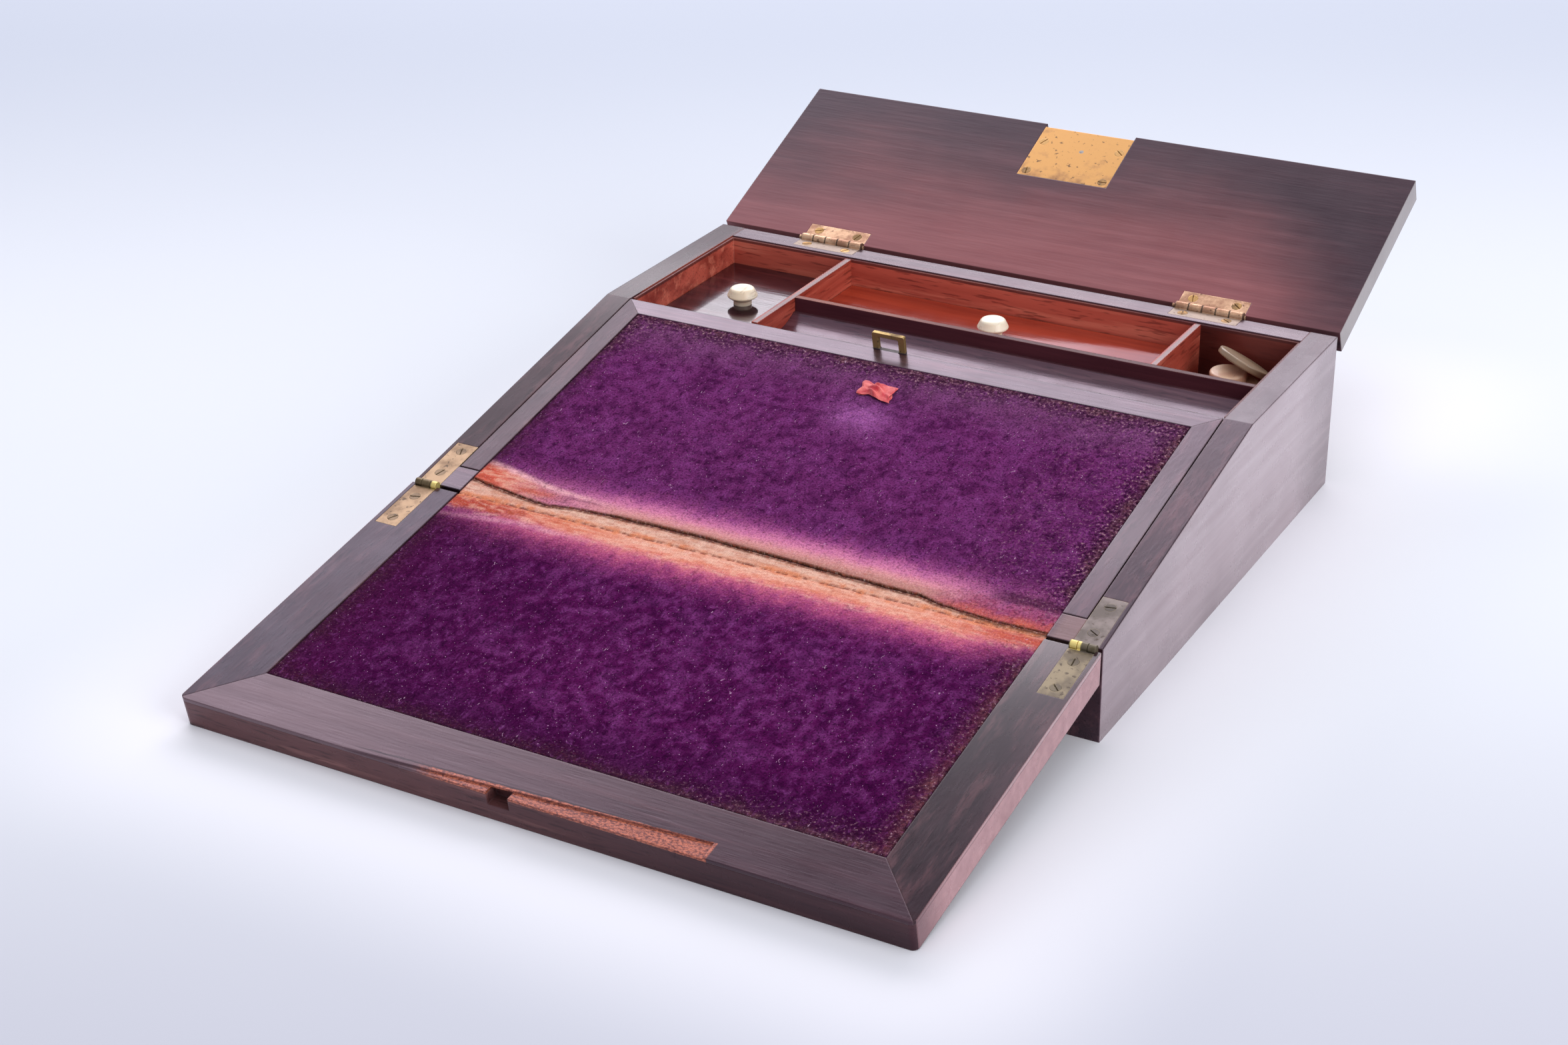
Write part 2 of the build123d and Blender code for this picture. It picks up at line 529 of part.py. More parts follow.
second_z = LARGE_COUNTER[1]
third_z = second_z + SECOND_COUNTER[1]
leaning_z = third_z + SMALL_COUNTER[1] + LEAN_GAP
counters = [counter(LARGE_COUNTER, 0.14, 0.2, 0), counter(SECOND_COUNTER, 0.05, 0.22, second_z),
            counter(SMALL_COUNTER, -0.06, 0.26, third_z),
            counter(LEANING_COUNTER, 0.12, 0.5, leaning_z, LEAN_X, LEAN_Y)]
save("loose_bone_counters", *counters)


# ---- upper writing flap ---------------------------------------------------------------------
staple_bed = block(CATCH_X - STAPLE_W / 2, CATCH_X + STAPLE_W / 2, STAPLE_S0, FAR, -UPPER_T * 2,
                   UPPER_T)
staple_pins = [(CATCH_X + dx, -STAPLE_PLATE * 0.6) for dx in (-STAPLE_W / 3, STAPLE_W / 3)]


def pin_y(x, s0, s1, z):
    """A small fixing pin along y."""
    return Pos(x, (s0 + s1) / 2, z) * Rot(90, 0, 0) * Cylinder(STAPLE_PIN_R, s1 - s0)


PIN_BITE = 5.0
staple_pin_solids = [pin_y(x, UPPER_S1 - PIN_BITE, STAPLE_S0 + STAPLE_T, z) for x, z in staple_pins]
upper_board = block(UPPER_X0, UPPER_X1, UPPER_S0, UPPER_S1, -UPPER_T, -BAND_T)
upper_board = upper_board - staple_bed - staple_pin_solids
upper_left = plan([(UPPER_X0, UPPER_S0), (CLOTH_X0, UPPER_S0), (CLOTH_X0, UPPER_CLOTH_S1),
                   (UPPER_X0, UPPER_S1)], -BAND_T, 0)
upper_right = plan([(CLOTH_X1, UPPER_S0), (UPPER_X1, UPPER_S0), (UPPER_X1, UPPER_S1),
                    (CLOTH_X1, UPPER_CLOTH_S1)], -BAND_T, 0)
upper_top = plan([(UPPER_X0, UPPER_S1), (CLOTH_X0, UPPER_CLOTH_S1), (CLOTH_X1, UPPER_CLOTH_S1),
                  (UPPER_X1, UPPER_S1)], -BAND_T, 0) - staple_bed
ribbon_room = block(RIBBON_X - RIBBON_W / 2, RIBBON_X + RIBBON_W / 2, RIBBON_S - RIBBON_D / 2,
                    RIBBON_S + RIBBON_D / 2, -BAND_T, BAND_T)
upper_cloth = block(CLOTH_X0, CLOTH_X1, UPPER_S0, UPPER_CLOTH_S1, -BAND_T, -BAND_T + CLOTH_T)
upper_cloth -= ribbon_room
ribbon = block(RIBBON_X - RIBBON_W / 2, RIBBON_X + RIBBON_W / 2, RIBBON_S - RIBBON_D / 2,
               RIBBON_S + RIBBON_D / 2, -BAND_T, RIBBON_PROUD)

staple = block(CATCH_X - STAPLE_W / 2, CATCH_X + STAPLE_W / 2, STAPLE_S0, STAPLE_S0 + STAPLE_T,
               -STAPLE_PLATE, STAPLE_HEIGHT)
staple -= block(CATCH_X - STAPLE_W / 2 + STAPLE_BAR, CATCH_X + STAPLE_W / 2 - STAPLE_BAR,
                0, FAR, 0, STAPLE_HEIGHT - STAPLE_TOP_BAR)
staple = fillet([e for e in staple.edges() if e.center().Z > -STAPLE_PLATE / 2
                 and abs(e.center().X - CATCH_X) > STAPLE_W / 4
                 and abs(e.length - STAPLE_T) < 0.01], 0.8)
staple -= staple_pin_solids

save("upper_flap_board", on_slope(upper_board))
save("upper_flap_left_band", on_slope(upper_left))
save("upper_flap_right_band", on_slope(upper_right))
save("upper_flap_top_band", on_slope(upper_top))
save("upper_flap_velvet", on_slope(upper_cloth))
save("ribbon_pull", on_slope(ribbon))
save("lock_staple", on_slope(staple))
save("staple_pins", *[on_slope(pin) for pin in staple_pin_solids])


# ---- lower writing flap ---------------------------------------------------------------------
top = -PIN_LIFT
corner_posts = [Pos(x, -LOWER_END + CORNER_R, 0) * Cylinder(CORNER_R, FAR)
                for x in (CORNER_R, WIDTH - CORNER_R)]
outline = block(0, WIDTH, -LOWER_END + CORNER_R, -PIN_EDGE, -FAR / 2, FAR / 2)
outline += block(CORNER_R, WIDTH - CORNER_R, -LOWER_END, -PIN_EDGE, -FAR / 2, FAR / 2)
hinge_bevel = profile_x([(-PIN_EDGE, top), (-PIN_EDGE - LOWER_T * tan(SLOPE), top - LOWER_T),
                         (0, top - LOWER_T), (0, top)], 0, WIDTH)
outline = outline + corner_posts - hinge_bevel
lower_leaf_room = [block(x, x + LEAF_W, -LEAF_LENGTH, 0, top - LEAF_T, top + LEAF_T)
                   for x in flap_hinge_x]
lower_barrel_room = [hinge[3] for hinge in flap_hinges]
mortise = block(CATCH_X - BOLT_W / 2 - MORTISE_CLEAR, CATCH_X + BOLT_W / 2 + MORTISE_CLEAR,
                -LOWER_END - 1, -LOWER_END + MORTISE_DEPTH, top - MORTISE_TOP - MORTISE_H,
                top - MORTISE_TOP)
flap_cuts = lower_leaf_room + lower_barrel_room + flap_screw_holes + [mortise]

lower_board = block(0, WIDTH, -LOWER_END, -PIN_EDGE, top - LOWER_T, top - BAND_T) & outline
lower_board = lower_board - flap_cuts
lower_left = plan([(0, -PIN_EDGE), (CLOTH_X0, -PIN_EDGE), (CLOTH_X0, -LOWER_CLOTH_END),
                   (0, -LOWER_END)], top - BAND_T, top)
lower_right = plan([(CLOTH_X1, -PIN_EDGE), (WIDTH, -PIN_EDGE), (WIDTH, -LOWER_END),
                    (CLOTH_X1, -LOWER_CLOTH_END)], top - BAND_T, top)
lower_free = plan([(0, -LOWER_END), (CLOTH_X0, -LOWER_CLOTH_END), (CLOTH_X1, -LOWER_CLOTH_END),
                   (WIDTH, -LOWER_END)], top - BAND_T, top)
chip = plan([(CHIP_START_X, -LOWER_END), (CHIP_END_X, -LOWER_END + CHIP_WIDTH),
             (CHIP_END_X, -LOWER_END - 1), (CHIP_START_X, -LOWER_END - 1)], top - CHIP_DEPTH, top + 1)
lower_left = (lower_left & outline) - flap_cuts
lower_right = (lower_right & outline) - flap_cuts
lower_free = (lower_free & outline) - flap_cuts - chip
lower_cloth = block(CLOTH_X0, CLOTH_X1, -LOWER_CLOTH_END, -PIN_EDGE, top - BAND_T,
                    top - BAND_T + CLOTH_T) - hinge_bevel

save("lower_flap_board", on_flap(lower_board))
save("lower_flap_left_band", on_flap(lower_left))
save("lower_flap_right_band", on_flap(lower_right))
save("lower_flap_free_band", on_flap(lower_free))
save("lower_flap_velvet", on_flap(lower_cloth))
save("flap_hinge_case_leaves", *[on_slope(pin_on_slope(leaf)) for leaf in case_leaves])
save("flap_hinge_case_screws", *[on_slope(pin_on_slope(piece)) for piece in case_screws])
save("flap_hinge_pins", *[on_slope(pin_on_slope(hinge[2])) for hinge in flap_hinges])
save("flap_hinge_flap_leaves", *[on_flap(leaf) for leaf in flap_leaves])
save("flap_hinge_flap_screws", *[on_flap(piece) for piece in flap_screws])


# ---- lid and its hinges ---------------------------------------------------------------------
lid_room = [block(x, x + LID_HINGE_LENGTH, DEPTH - LID_LEAF_W, DEPTH + 1, LID_Z0 - 1,
                  LID_Z0 + LID_LEAF_T) for x in LID_HINGE_X]
body_x0 = LOCK_X + LOCK_BODY_MARGIN
body_x1 = LOCK_X1 - LOCK_BODY_MARGIN
body_z0 = LID_Z0 + LOCK_PLATE_T
body_z1 = LID_Z0 + LOCK_BODY_H + LOCK_PLATE_T
body_y1 = LOCK_Y1 - LOCK_BODY_END
key_y = LOCK_Y0 + KEY_PIN_BACK
lock_body_room = block(body_x0, body_x1, LOCK_Y0, body_y1, body_z0, body_z1)
lock_plate_room = block(LOCK_X, LOCK_X1, LID_FRONT_Y - 1, LOCK_Y1, LID_Z0 - 1,
                        LID_Z0 + LOCK_PLATE_T)
notch = block(LOCK_X, LOCK_X1, LID_FRONT_Y - 1, LOCK_Y0, LID_Z0 - 1, LID_Z1 + 1)
keyhole = post_z(KEYHOLE_R, KEY_PIN_X, key_y, LID_Z0, LID_Z1 + 1)
keyhole += block(KEY_PIN_X - KEYHOLE_SLOT / 2, KEY_PIN_X + KEYHOLE_SLOT / 2, key_y,
                 key_y + KEYHOLE_DROP, LID_Z0, LID_Z1 + 1)
escutcheon_room = post_z(ESCUTCHEON_R, KEY_PIN_X, key_y + KEYHOLE_DROP / 3, LID_Z1 - ESCUTCHEON_T,
                         LID_Z1 + 1)
plate_screw_in = 3.4
plate_screw_places = [(x, y, LID_Z0) for x in (LOCK_X + plate_screw_in, LOCK_X1 - plate_screw_in)
                      for y in (LOCK_Y0 + 3 * plate_screw_in, LOCK_Y1 - plate_screw_in)]
plate_screws, plate_screw_holes = screws_at(plate_screw_places, flip=True, turn=60)

lid_board = block(0, WIDTH, LID_FRONT_Y, DEPTH, LID_Z0, LID_Z1)
lid_board = soften(lid_board, lambda e: e.center().Z > LID_Z1 - 0.01 or e.length < LID_T * 1.01)
lid_board = lid_board - lid_room - rim_barrel_room - lid_screw_holes
lid_board = lid_board - lock_plate_room - notch - lock_body_room - plate_screw_holes
lid_board = lid_board - keyhole - escutcheon_room
save("lid_board", on_lid(lid_board))
save("lid_hinge_lid_leaves", *[on_lid(leaf) for leaf in lid_leaves])
save("lid_hinge_lid_screws", *[on_lid(piece) for piece in lid_screws])
save("lid_hinge_case_leaves", *rim_leaves)
save("lid_hinge_case_screws", *rim_screws)
save("lid_hinge_pins", *[hinge[2] for hinge in lid_hinges])

# lock: a body with a bolt that shoots forward through the staple into the lower flap's end
lock_body = lock_body_room - block(body_x0 + LOCK_WALL, body_x1 - LOCK_WALL, LOCK_Y0 + LOCK_WALL,
                                   body_y1 - LOCK_WALL, body_z0, body_z1 - LOCK_WALL)
bolt_slot = block(CATCH_X - BOLT_W / 2 - BOLT_CLEAR, CATCH_X + BOLT_W / 2 + BOLT_CLEAR,
                  LOCK_Y0 - 1, LOCK_Y0 + LOCK_WALL + 1, BOLT_Z - BOLT_CLEAR,
                  BOLT_Z + BOLT_T + BOLT_CLEAR)
lock_body = lock_body - bolt_slot - keyhole
bolt = block(CATCH_X - BOLT_W / 2, CATCH_X + BOLT_W / 2, LOCK_Y0 + BOLT_CLEAR,
             LOCK_Y0 + BOLT_CLEAR + BOLT_LENGTH, BOLT_Z, BOLT_Z + BOLT_T)
talon = block(CATCH_X + BOLT_W / 4, CATCH_X + BOLT_W / 2 + 1, key_y + BOLT_THROW / 2,
              key_y + BOLT_THROW / 2 + KEYHOLE_SLOT * 2, BOLT_Z - 1, BOLT_Z + BOLT_T + 1)
bolt -= talon
key_pin = post_z(KEY_PIN_R, KEY_PIN_X, key_y, LID_Z0, body_z1 - LOCK_WALL - BOLT_CLEAR)
lock_plate = block(LOCK_X, LOCK_X1, LOCK_Y0, LOCK_Y1, LID_Z0, LID_Z0 + LOCK_PLATE_T)
lock_plate = lock_plate - plate_screw_holes - key_pin
spring = block(CATCH_X - BOLT_W / 2 - SEAT_GAP - SPRING_T, CATCH_X - BOLT_W / 2 - SEAT_GAP,
               LOCK_Y0 + LOCK_WALL, body_y1 - 3 * LOCK_WALL, BOLT_Z, BOLT_Z + BOLT_T)
spring += block(body_x0 + LOCK_WALL, CATCH_X - BOLT_W / 2 - SEAT_GAP, LOCK_Y0 + LOCK_WALL,
                LOCK_Y0 + LOCK_WALL + SPRING_T, BOLT_Z, BOLT_Z + BOLT_T)
escutcheon = post_z(ESCUTCHEON_R, KEY_PIN_X, key_y + KEYHOLE_DROP / 3, LID_Z1 - ESCUTCHEON_T,
                    LID_Z1) - keyhole
save("lock_plate", on_lid(lock_plate))
save("lock_plate_screws", *[on_lid(piece) for piece in plate_screws])
save("lock_body", on_lid(lock_body))
save("lock_bolt", on_lid(bolt))
save("lock_key_pin", on_lid(key_pin))
save("lock_spring", on_lid(spring))
save("keyhole_escutcheon", on_lid(escutcheon))
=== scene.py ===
import math

import bpy
import numpy as np
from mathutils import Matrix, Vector


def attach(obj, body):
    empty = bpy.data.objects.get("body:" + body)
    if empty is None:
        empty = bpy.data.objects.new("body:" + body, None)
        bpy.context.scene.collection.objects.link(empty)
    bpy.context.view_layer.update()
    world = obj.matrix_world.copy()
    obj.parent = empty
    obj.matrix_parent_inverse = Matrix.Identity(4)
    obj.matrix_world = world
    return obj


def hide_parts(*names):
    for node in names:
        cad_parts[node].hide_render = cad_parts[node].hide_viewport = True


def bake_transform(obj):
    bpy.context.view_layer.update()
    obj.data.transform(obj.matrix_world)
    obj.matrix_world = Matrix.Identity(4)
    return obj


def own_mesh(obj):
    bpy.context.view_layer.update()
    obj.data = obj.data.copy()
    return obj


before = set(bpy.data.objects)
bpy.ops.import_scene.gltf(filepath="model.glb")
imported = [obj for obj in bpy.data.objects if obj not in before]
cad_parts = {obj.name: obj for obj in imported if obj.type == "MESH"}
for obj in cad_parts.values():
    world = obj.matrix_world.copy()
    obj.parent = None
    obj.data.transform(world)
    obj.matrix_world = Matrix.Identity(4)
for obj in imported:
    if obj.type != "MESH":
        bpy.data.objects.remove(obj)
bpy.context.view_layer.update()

bl_info = {
    "name": "Writing slope",
    "version": (1, 0, 0),
    "blender": (4, 5, 0),
    "location": "3D View > Sidebar > Writing slope",
    "description": "Finishes the woods, metals, bone, velvet and ribbon of an open writing slope",
    "category": "Object",
}

MM = 1000  # millimetres in a metre

# The surface that one writes on, in millimetres. x runs from the left side of the case. s runs up the
# slope from the front of the case, and goes on below nought down the lower flap. h stands off it. The
# open flap falls from its hinge pins at the angle FLAP_DROP, and the upper flap begins at RAIL_S.
CASE_W, CASE_L = 305.0, 249.0
FRONT_H = 39.0
SLOPE = math.asin(30.0 / 150.0)
FLAP_DROP = math.radians(9.95)
PIN_S, PIN_H = -1.5, 0.4
CLOTH_X = (22.3, 282.7)
CLOTH_TOP, CLOTH_END = 140.15, -128.0
RAIL_S = 13.78
CREASE_S = -1.35
PILE_H = -0.2
RIBBON_S = 120.4

# The slit in the velvet, the edge of the bare ground above it and a painted ridge highlight below it, as
# points x, s.
SLIT = np.array([(20, 9.6), (35, 7.1), (49, 5.0), (62, 3.7), (75, 6.0), (93, 6.7), (114, 7.1),
                 (135, 7.1), (160, 6.4), (179, 6.0), (200, 5.2), (215, 4.8), (229, 4.6),
                 (237, 2.8), (250, 1.6), (262, 0.9), (285, 1.1)], float)
BARE_EDGE = np.array([(20, 22.5), (35, 19.5), (50, 16), (62, 13.8), (88, 12.8), (285, 12)], float)
RIDGE_HIGHLIGHT = np.array([(22, -16.2), (40, -13.4), (60, -11.2), (95, -10.6)], float)

# Places in the row frame, in metres: half the case, the inner faces of its sides, the front face of the
# divider, the middles of the two partitions, and the top of the boards in the well. The open lid rises
# towards the back at the angle LID_TILT.
HALF_W, HALF_L = CASE_W / 2 / MM, CASE_L / 2 / MM
SIDE_INNER = HALF_W - 0.0122
DIVIDER_Y = 0.0585
PARTITION_X = (-0.0777, 0.0938)
WELL_TOP = 0.0684
LID_TILT = math.radians(22.8)

# The leaning counter lies on the far side of a plane with this normal, this far from the origin in metres.
LEANING_NORMAL, LEANING_SIDE = (0.3665, 0.3784, 0.8500), 0.1313


def tone(red, green, blue):
    """A colour as it looks on a screen, 0 to 255, as linear light."""
    share = [c / 255 for c in (red, green, blue)]
    return tuple(c / 12.92 if c <= 0.04045 else ((c + 0.055) / 1.055) ** 2.4 for c in share) + (1.0,)


WHITE = (1.0, 1.0, 1.0, 1.0)
LILAC = (1.0, 0.74, 0.98, 1.0)
BLUISH = (0.72, 0.64, 1.0, 1.0)
ROSE_DARK, ROSE_MID, ROSE_LIGHT = (32, 18, 22), (60, 36, 42), (98, 64, 68)
RUBBED = (108, 84, 86)


# ---------------- shader maths

class Num:
    """A socket of a material, worked on by Math nodes as it is added, multiplied and so on."""

    def __init__(self, finish, socket):
        self.finish = finish
        self.socket = socket

    def _math(self, operation, first, second):
        return self.finish.node("ShaderNodeMath", {"operation": operation}, {0: first, 1: second})

    def __add__(self, other):
        return self._math("ADD", self, other)

    __radd__ = __add__

    def __sub__(self, other):
        return self._math("SUBTRACT", self, other)

    def __rsub__(self, other):
        return self._math("SUBTRACT", other, self)

    def __mul__(self, other):
        return self._math("MULTIPLY", self, other)

    def __truediv__(self, other):
        return self._math("DIVIDE", self, other)

    def part(self):
        """What is left of the number after its whole part."""
        return self.finish.node("ShaderNodeMath", {"operation": "FRACT"}, {0: self})

    def size(self):
        """The number without its sign."""
        return self.finish.node("ShaderNodeMath", {"operation": "ABSOLUTE"}, {0: self})

    def rise(self, low, high):
        """0 below low and 1 above high, with a smooth rise between. It falls if low is above high."""
        if low > high:
            return 1 - self.rise(high, low)
        return self.finish.node("ShaderNodeMapRange", {"interpolation_type": "SMOOTHSTEP"},
                                {"Value": self, "From Min": low, "From Max": high})


class Finish:
    """One material: a principled shader and the nodes that feed it."""

    def __init__(self, name, roughness=0.5, metallic=0.0, coat=0.0, coat_roughness=0.2, tint=WHITE):
        self.material = bpy.data.materials.new(name)
        self.material.use_nodes = True
        self.tree = self.material.node_tree
        self.tree.nodes.clear()
        self.shader = self.tree.nodes.new("ShaderNodeBsdfPrincipled")
        output = self.tree.nodes.new("ShaderNodeOutputMaterial")
        self.tree.links.new(self.shader.outputs[0], output.inputs["Surface"])
        self.set("Roughness", roughness)
        self.set("Metallic", metallic)
        self.set("Coat Weight", coat)
        self.set("Coat Roughness", coat_roughness)
        self.set("Specular Tint", tint)

    def put(self, socket, value):
        """Links value to the socket if it is a Num, and sets the socket to it if it is not."""
        if isinstance(value, Num):
            self.tree.links.new(value.socket, socket)
        else:
            socket.default_value = value

    def set(self, socket, value):
        """Puts value on a socket of the shader."""
        self.put(self.shader.inputs[socket], value)

    def node(self, kind, settings, inputs, output=0):
        """A node of that kind with its settings and inputs. Gives the named or numbered output."""
        made = self.tree.nodes.new(kind)
        for key, value in settings.items():
            setattr(made, key, value)
        for key, value in inputs.items():
            self.put(made.inputs[key], value)
        return Num(self, made.outputs[output])

    def place(self):
        """Where a point of the piece lies, in the row frame in metres."""
        return self.node("ShaderNodeTexCoord", {}, {}, "Object")

    def attribute(self, name, output="Fac"):
        """A value or colour that the mesh holds."""
        return self.node("ShaderNodeAttribute", {"attribute_name": name}, {}, output)

    def stretch(self, place, scale):
        """The place scaled along each axis, for noise that is drawn out where scale is small."""
        return self.node("ShaderNodeMapping", {}, {"Vector": place, "Scale": scale})

    def axis(self, place, number):
        """x, y or z of a place."""
        return self.node("ShaderNodeSeparateXYZ", {}, {0: place}, number)

    def axes(self, place, count=3):
        """x, y and z of a place, or the first of them."""
        return [self.axis(place, number) for number in range(count)]

    def noise(self, place, scale, detail=3.0, roughness=0.5, distortion=0.0):
        """Noise between 0 and 1, with scale cells in a unit of place."""
        return self.node("ShaderNodeTexNoise", {}, {"Vector": place, "Scale": scale, "Detail": detail,
                                                    "Roughness": roughness, "Distortion": distortion})

    def mix(self, share, first, second):
        """The first colour, with that share of the second laid over it. Three numbers are a colour as a
        screen shows it, and four are one in linear light."""
        first, second = (tone(*c) if isinstance(c, tuple) and len(c) == 3 else c for c in (first, second))
        return self.node("ShaderNodeMix", {"data_type": "RGBA", "blend_type": "MIX", "clamp_factor": True},
                         {0: share, 6: first, 7: second}, 2)

    def lay(self, share, colour):
        """Lays a colour over that share of the surface."""
        self.colour = self.mix(share, self.colour, colour)

    def soft_edges(self, radius):
        """A normal that rounds the arrises by that radius, and how near one is, 0 to 1."""
        rounded = self.node("ShaderNodeBevel", {"samples": 6}, {"Radius": radius})
        flat = self.node("ShaderNodeNewGeometry", {}, {}, "Normal")
        turned = self.node("ShaderNodeVectorMath", {"operation": "DOT_PRODUCT"}, {0: rounded, 1: flat}, 1)
        return rounded, (1 - turned).rise(0.01, 0.14)

    def raised(self, height, strength, distance, normal=None):
        """The normal of a surface raised by height times distance."""
        inputs = {"Height": height, "Strength": strength, "Distance": distance}
        if normal is not None:
            inputs["Normal"] = normal
        return self.node("ShaderNodeBump", {}, inputs)

    def finished(self, height, strength, distance, normal=None):
        """Puts on the colour laid so far, raises the surface and gives the material."""
        self.set("Base Color", self.colour)
        self.set("Normal", self.raised(height, strength, distance, normal))
        return self.material


# ---------------- woods

ALONG_X, ALONG_Y = 0, 1

# How fine the parts of the grain are, as cells of noise in a metre, and how far noise is drawn out by it.
BANDS, STREAKS, PORES, CLOUDS, SMEARS = 42.0, 210.0, 950.0, 16.0, 55.0
DRAWN_OUT, PORES_DRAWN_OUT = 0.06, 0.09


class Board(Finish):
    """A wooden board: where its points lie, its grain along one axis, and its colour so far."""

    def __init__(self, name, along, dark, middle, light, figure, **looks):
        super().__init__(name, **looks)
        self.here = self.place()
        self.x, self.y, self.z = self.axes(self.here)
        scale = [1.0, 1.0, 1.0]
        scale[along] = DRAWN_OUT
        grain = self.stretch(self.here, scale)
        self.bands = self.noise(grain, BANDS * figure, 5.0, 0.55, 0.5)
        self.streaks = self.noise(grain, STREAKS, 4.0, 0.6, 0.2)
        scale[along] = PORES_DRAWN_OUT
        self.pores = self.noise(self.stretch(self.here, scale), PORES, 2.0, 0.5)
        self.clouds = self.noise(self.here, CLOUDS, 3.0, 0.5)
        self.colour = dark
        self.lay(self.bands.rise(0.34, 0.62), middle)
        self.lay(self.streaks.rise(0.48, 0.72) * 0.65, light)
        self.lay(self.pores.rise(0.56, 0.68) * 0.55, tuple(c * 0.35 for c in tone(*dark)[:3]) + (1.0,))

    def lay(self, share, first, second=None):
        """Lays one colour, or two that take turns along the streaks."""
        super().lay(share, self.mix(self.streaks, first, second) if second else first)


def wood(name, along, dark, middle, light, roughness=0.28, coat=0.0, coat_roughness=0.1, worn=None,
         figure=1.0, tint=None, shine=0.5, polish=None, warp=None, gleam=LILAC):
    """Polished wood. Long bands of growth run along one axis, with fine streaks and short dark pores in
    them. worn is the colour of the rubbed arrises, tint may recolour the board by place, and shine is how
    much the wood reflects. polish gives the weight of a fresh coat on it from a row: an axis, where the coat
    begins, where it is full, and its full weight. warp gives the height of a board that is not quite flat.
    gleam is the colour of its reflections."""
    b = Board(name, along, dark, middle, light, figure, roughness=roughness, coat=coat,
              coat_roughness=coat_roughness, tint=gleam)
    b.set("Specular IOR Level", shine)
    if tint:
        tint(b)
    rounded, rim = b.soft_edges(0.0007)
    if worn:
        b.lay(rim * b.clouds.rise(0.35, 0.6) * 0.6, worn)
    if polish:
        axis, begins, full, weight = polish
        b.set("Coat Weight", coat + b.axis(b.here, axis).rise(begins, full) * weight)
    if warp:
        rounded = b.raised(warp(b), 1.0, 0.001, rounded)
    b.set("Roughness", roughness + (b.noise(b.here, SMEARS, 4.0, 0.6) - 0.5) * 0.25)
    return b.finished(b.streaks + b.pores * 0.6 + b.bands * 0.5, 0.16, 0.0004, rounded)


def rosewood(name, along, **looks):
    """A board of rosewood with rubbed arrises."""
    return wood("rosewood " + name, along, ROSE_DARK, ROSE_MID, ROSE_LIGHT, worn=RUBBED, **looks)


def height_on_slope(y, z):
    """How far a point of the row frame stands off the writing slope, in millimetres."""
    return (z * MM - FRONT_H) * math.cos(SLOPE) - (y * MM + CASE_L / 2) * math.sin(SLOPE)


def side_faces(b):
    """1 on the outer faces at the left and right of the slope, and 0 within them."""
    return b.x.size().rise(HALF_W - 0.00025, HALF_W - 0.00005)


def top_edges(b):
    """1 on the top edges of the boards in the well."""
    return b.z.rise(WELL_TOP - 0.0002, WELL_TOP)


def pale_side_tones(b):
    """The outer face of a side board is pale mauve, most behind the middle and high up, and darker in cloudy
    patches towards the front and the floor. The face towards the papers is plain red-brown."""
    pale_share = (b.y * 2.6 + b.z * 5.5 + (b.clouds - 0.5) * 0.9 - b.y.rise(0.06, 0.13) * 0.7).rise(-0.45, 0.45)
    b.lay(side_faces(b) * (0.45 + pale_share * 0.5), (156, 134, 139), (199, 186, 191))
    inner = b.x.size().rise(SIDE_INNER + 0.0003, SIDE_INNER + 0.0001)
    b.lay(inner * height_on_slope(b.y, b.z).rise(-2.0, -2.6), (120, 52, 42), (165, 84, 66))


def flap_edge_tones(b):
    """The outer edges of the lower flap are pinkish brown in clouds, and darker towards the front. Its front
    edge is nearly black at the right."""
    side = side_faces(b)
    b.lay(side * b.clouds.rise(0.2, 0.5) * 0.9, (150, 108, 112), (202, 158, 160))
    b.lay(side * b.y.rise(-0.248, -0.272) * 0.7, (84, 54, 60))
    front = b.y.rise(-0.2690, -0.2705) * b.x.rise(-0.04, 0.12) * (1 - side)
    b.lay(front * 0.85, (22, 10, 14), (66, 36, 42))


def cover_tones(b):
    """The middle cover is redder than the left one, and redder still along the back, where the added red is a
    painted reflection.
    """
    past_left = b.x.rise(PARTITION_X[0] - 0.0003, PARTITION_X[0] + 0.0002)
    b.lay(past_left * (0.45 + b.y.rise(0.07, 0.105) * 0.55), (122, 34, 20), (186, 72, 46))


def cover_warp(b):
    """The right end of the middle cover has lifted along its back edge. It tilts there by 210 thousandths
    about its middle line, and the height is in thousandths of a metre."""
    return (b.y - 0.087) * b.x.rise(-0.01, 0.09) * 210


def divider_faces(b):
    """The divider's face towards the pen tray is painted dark as shade, and is plain behind. Its top edge has
    a painted highlight, orange-brown at the left and dark at the right.
    """
    # aged is the painted highlight along the top edge, fading from left to right.
    aged = b.mix(b.x.rise(-0.08, 0.04), (150, 84, 62), (62, 30, 32))
    b.lay(top_edges(b) * 0.9, b.mix(b.clouds.rise(0.4, 0.6) * 0.4, aged, (60, 28, 32)))
    b.lay(b.y.rise(DIVIDER_Y + 0.0001, DIVIDER_Y), (48, 20, 28), (98, 50, 58))


def dim_cell(b):
    """Painted shade in the right cell: its lining is brown, going near black by the partition. The top of the
    lining is darker everywhere.
    """
    brown = b.mix(b.streaks, (72, 26, 22), (112, 48, 40))
    b.lay(b.x.rise(0.090, 0.096) * 0.9, b.mix(b.x.rise(0.098, 0.116), (20, 4, 4), brown))
    b.lay(b.z.rise(WELL_TOP - 0.0016, WELL_TOP - 0.0012) * 0.8, (74, 36, 34))


def partition_faces(b):
    """The top edges of the partitions have gone pale and grey, in a strip just right of their middles."""
    pale = [(b.x - middle - 0.0003).size().rise(0.0011, 0.0009) for middle in PARTITION_X]
    b.lay(top_edges(b) * (pale[0] + pale[1]) * 0.9, (104, 80, 78), (150, 128, 124))


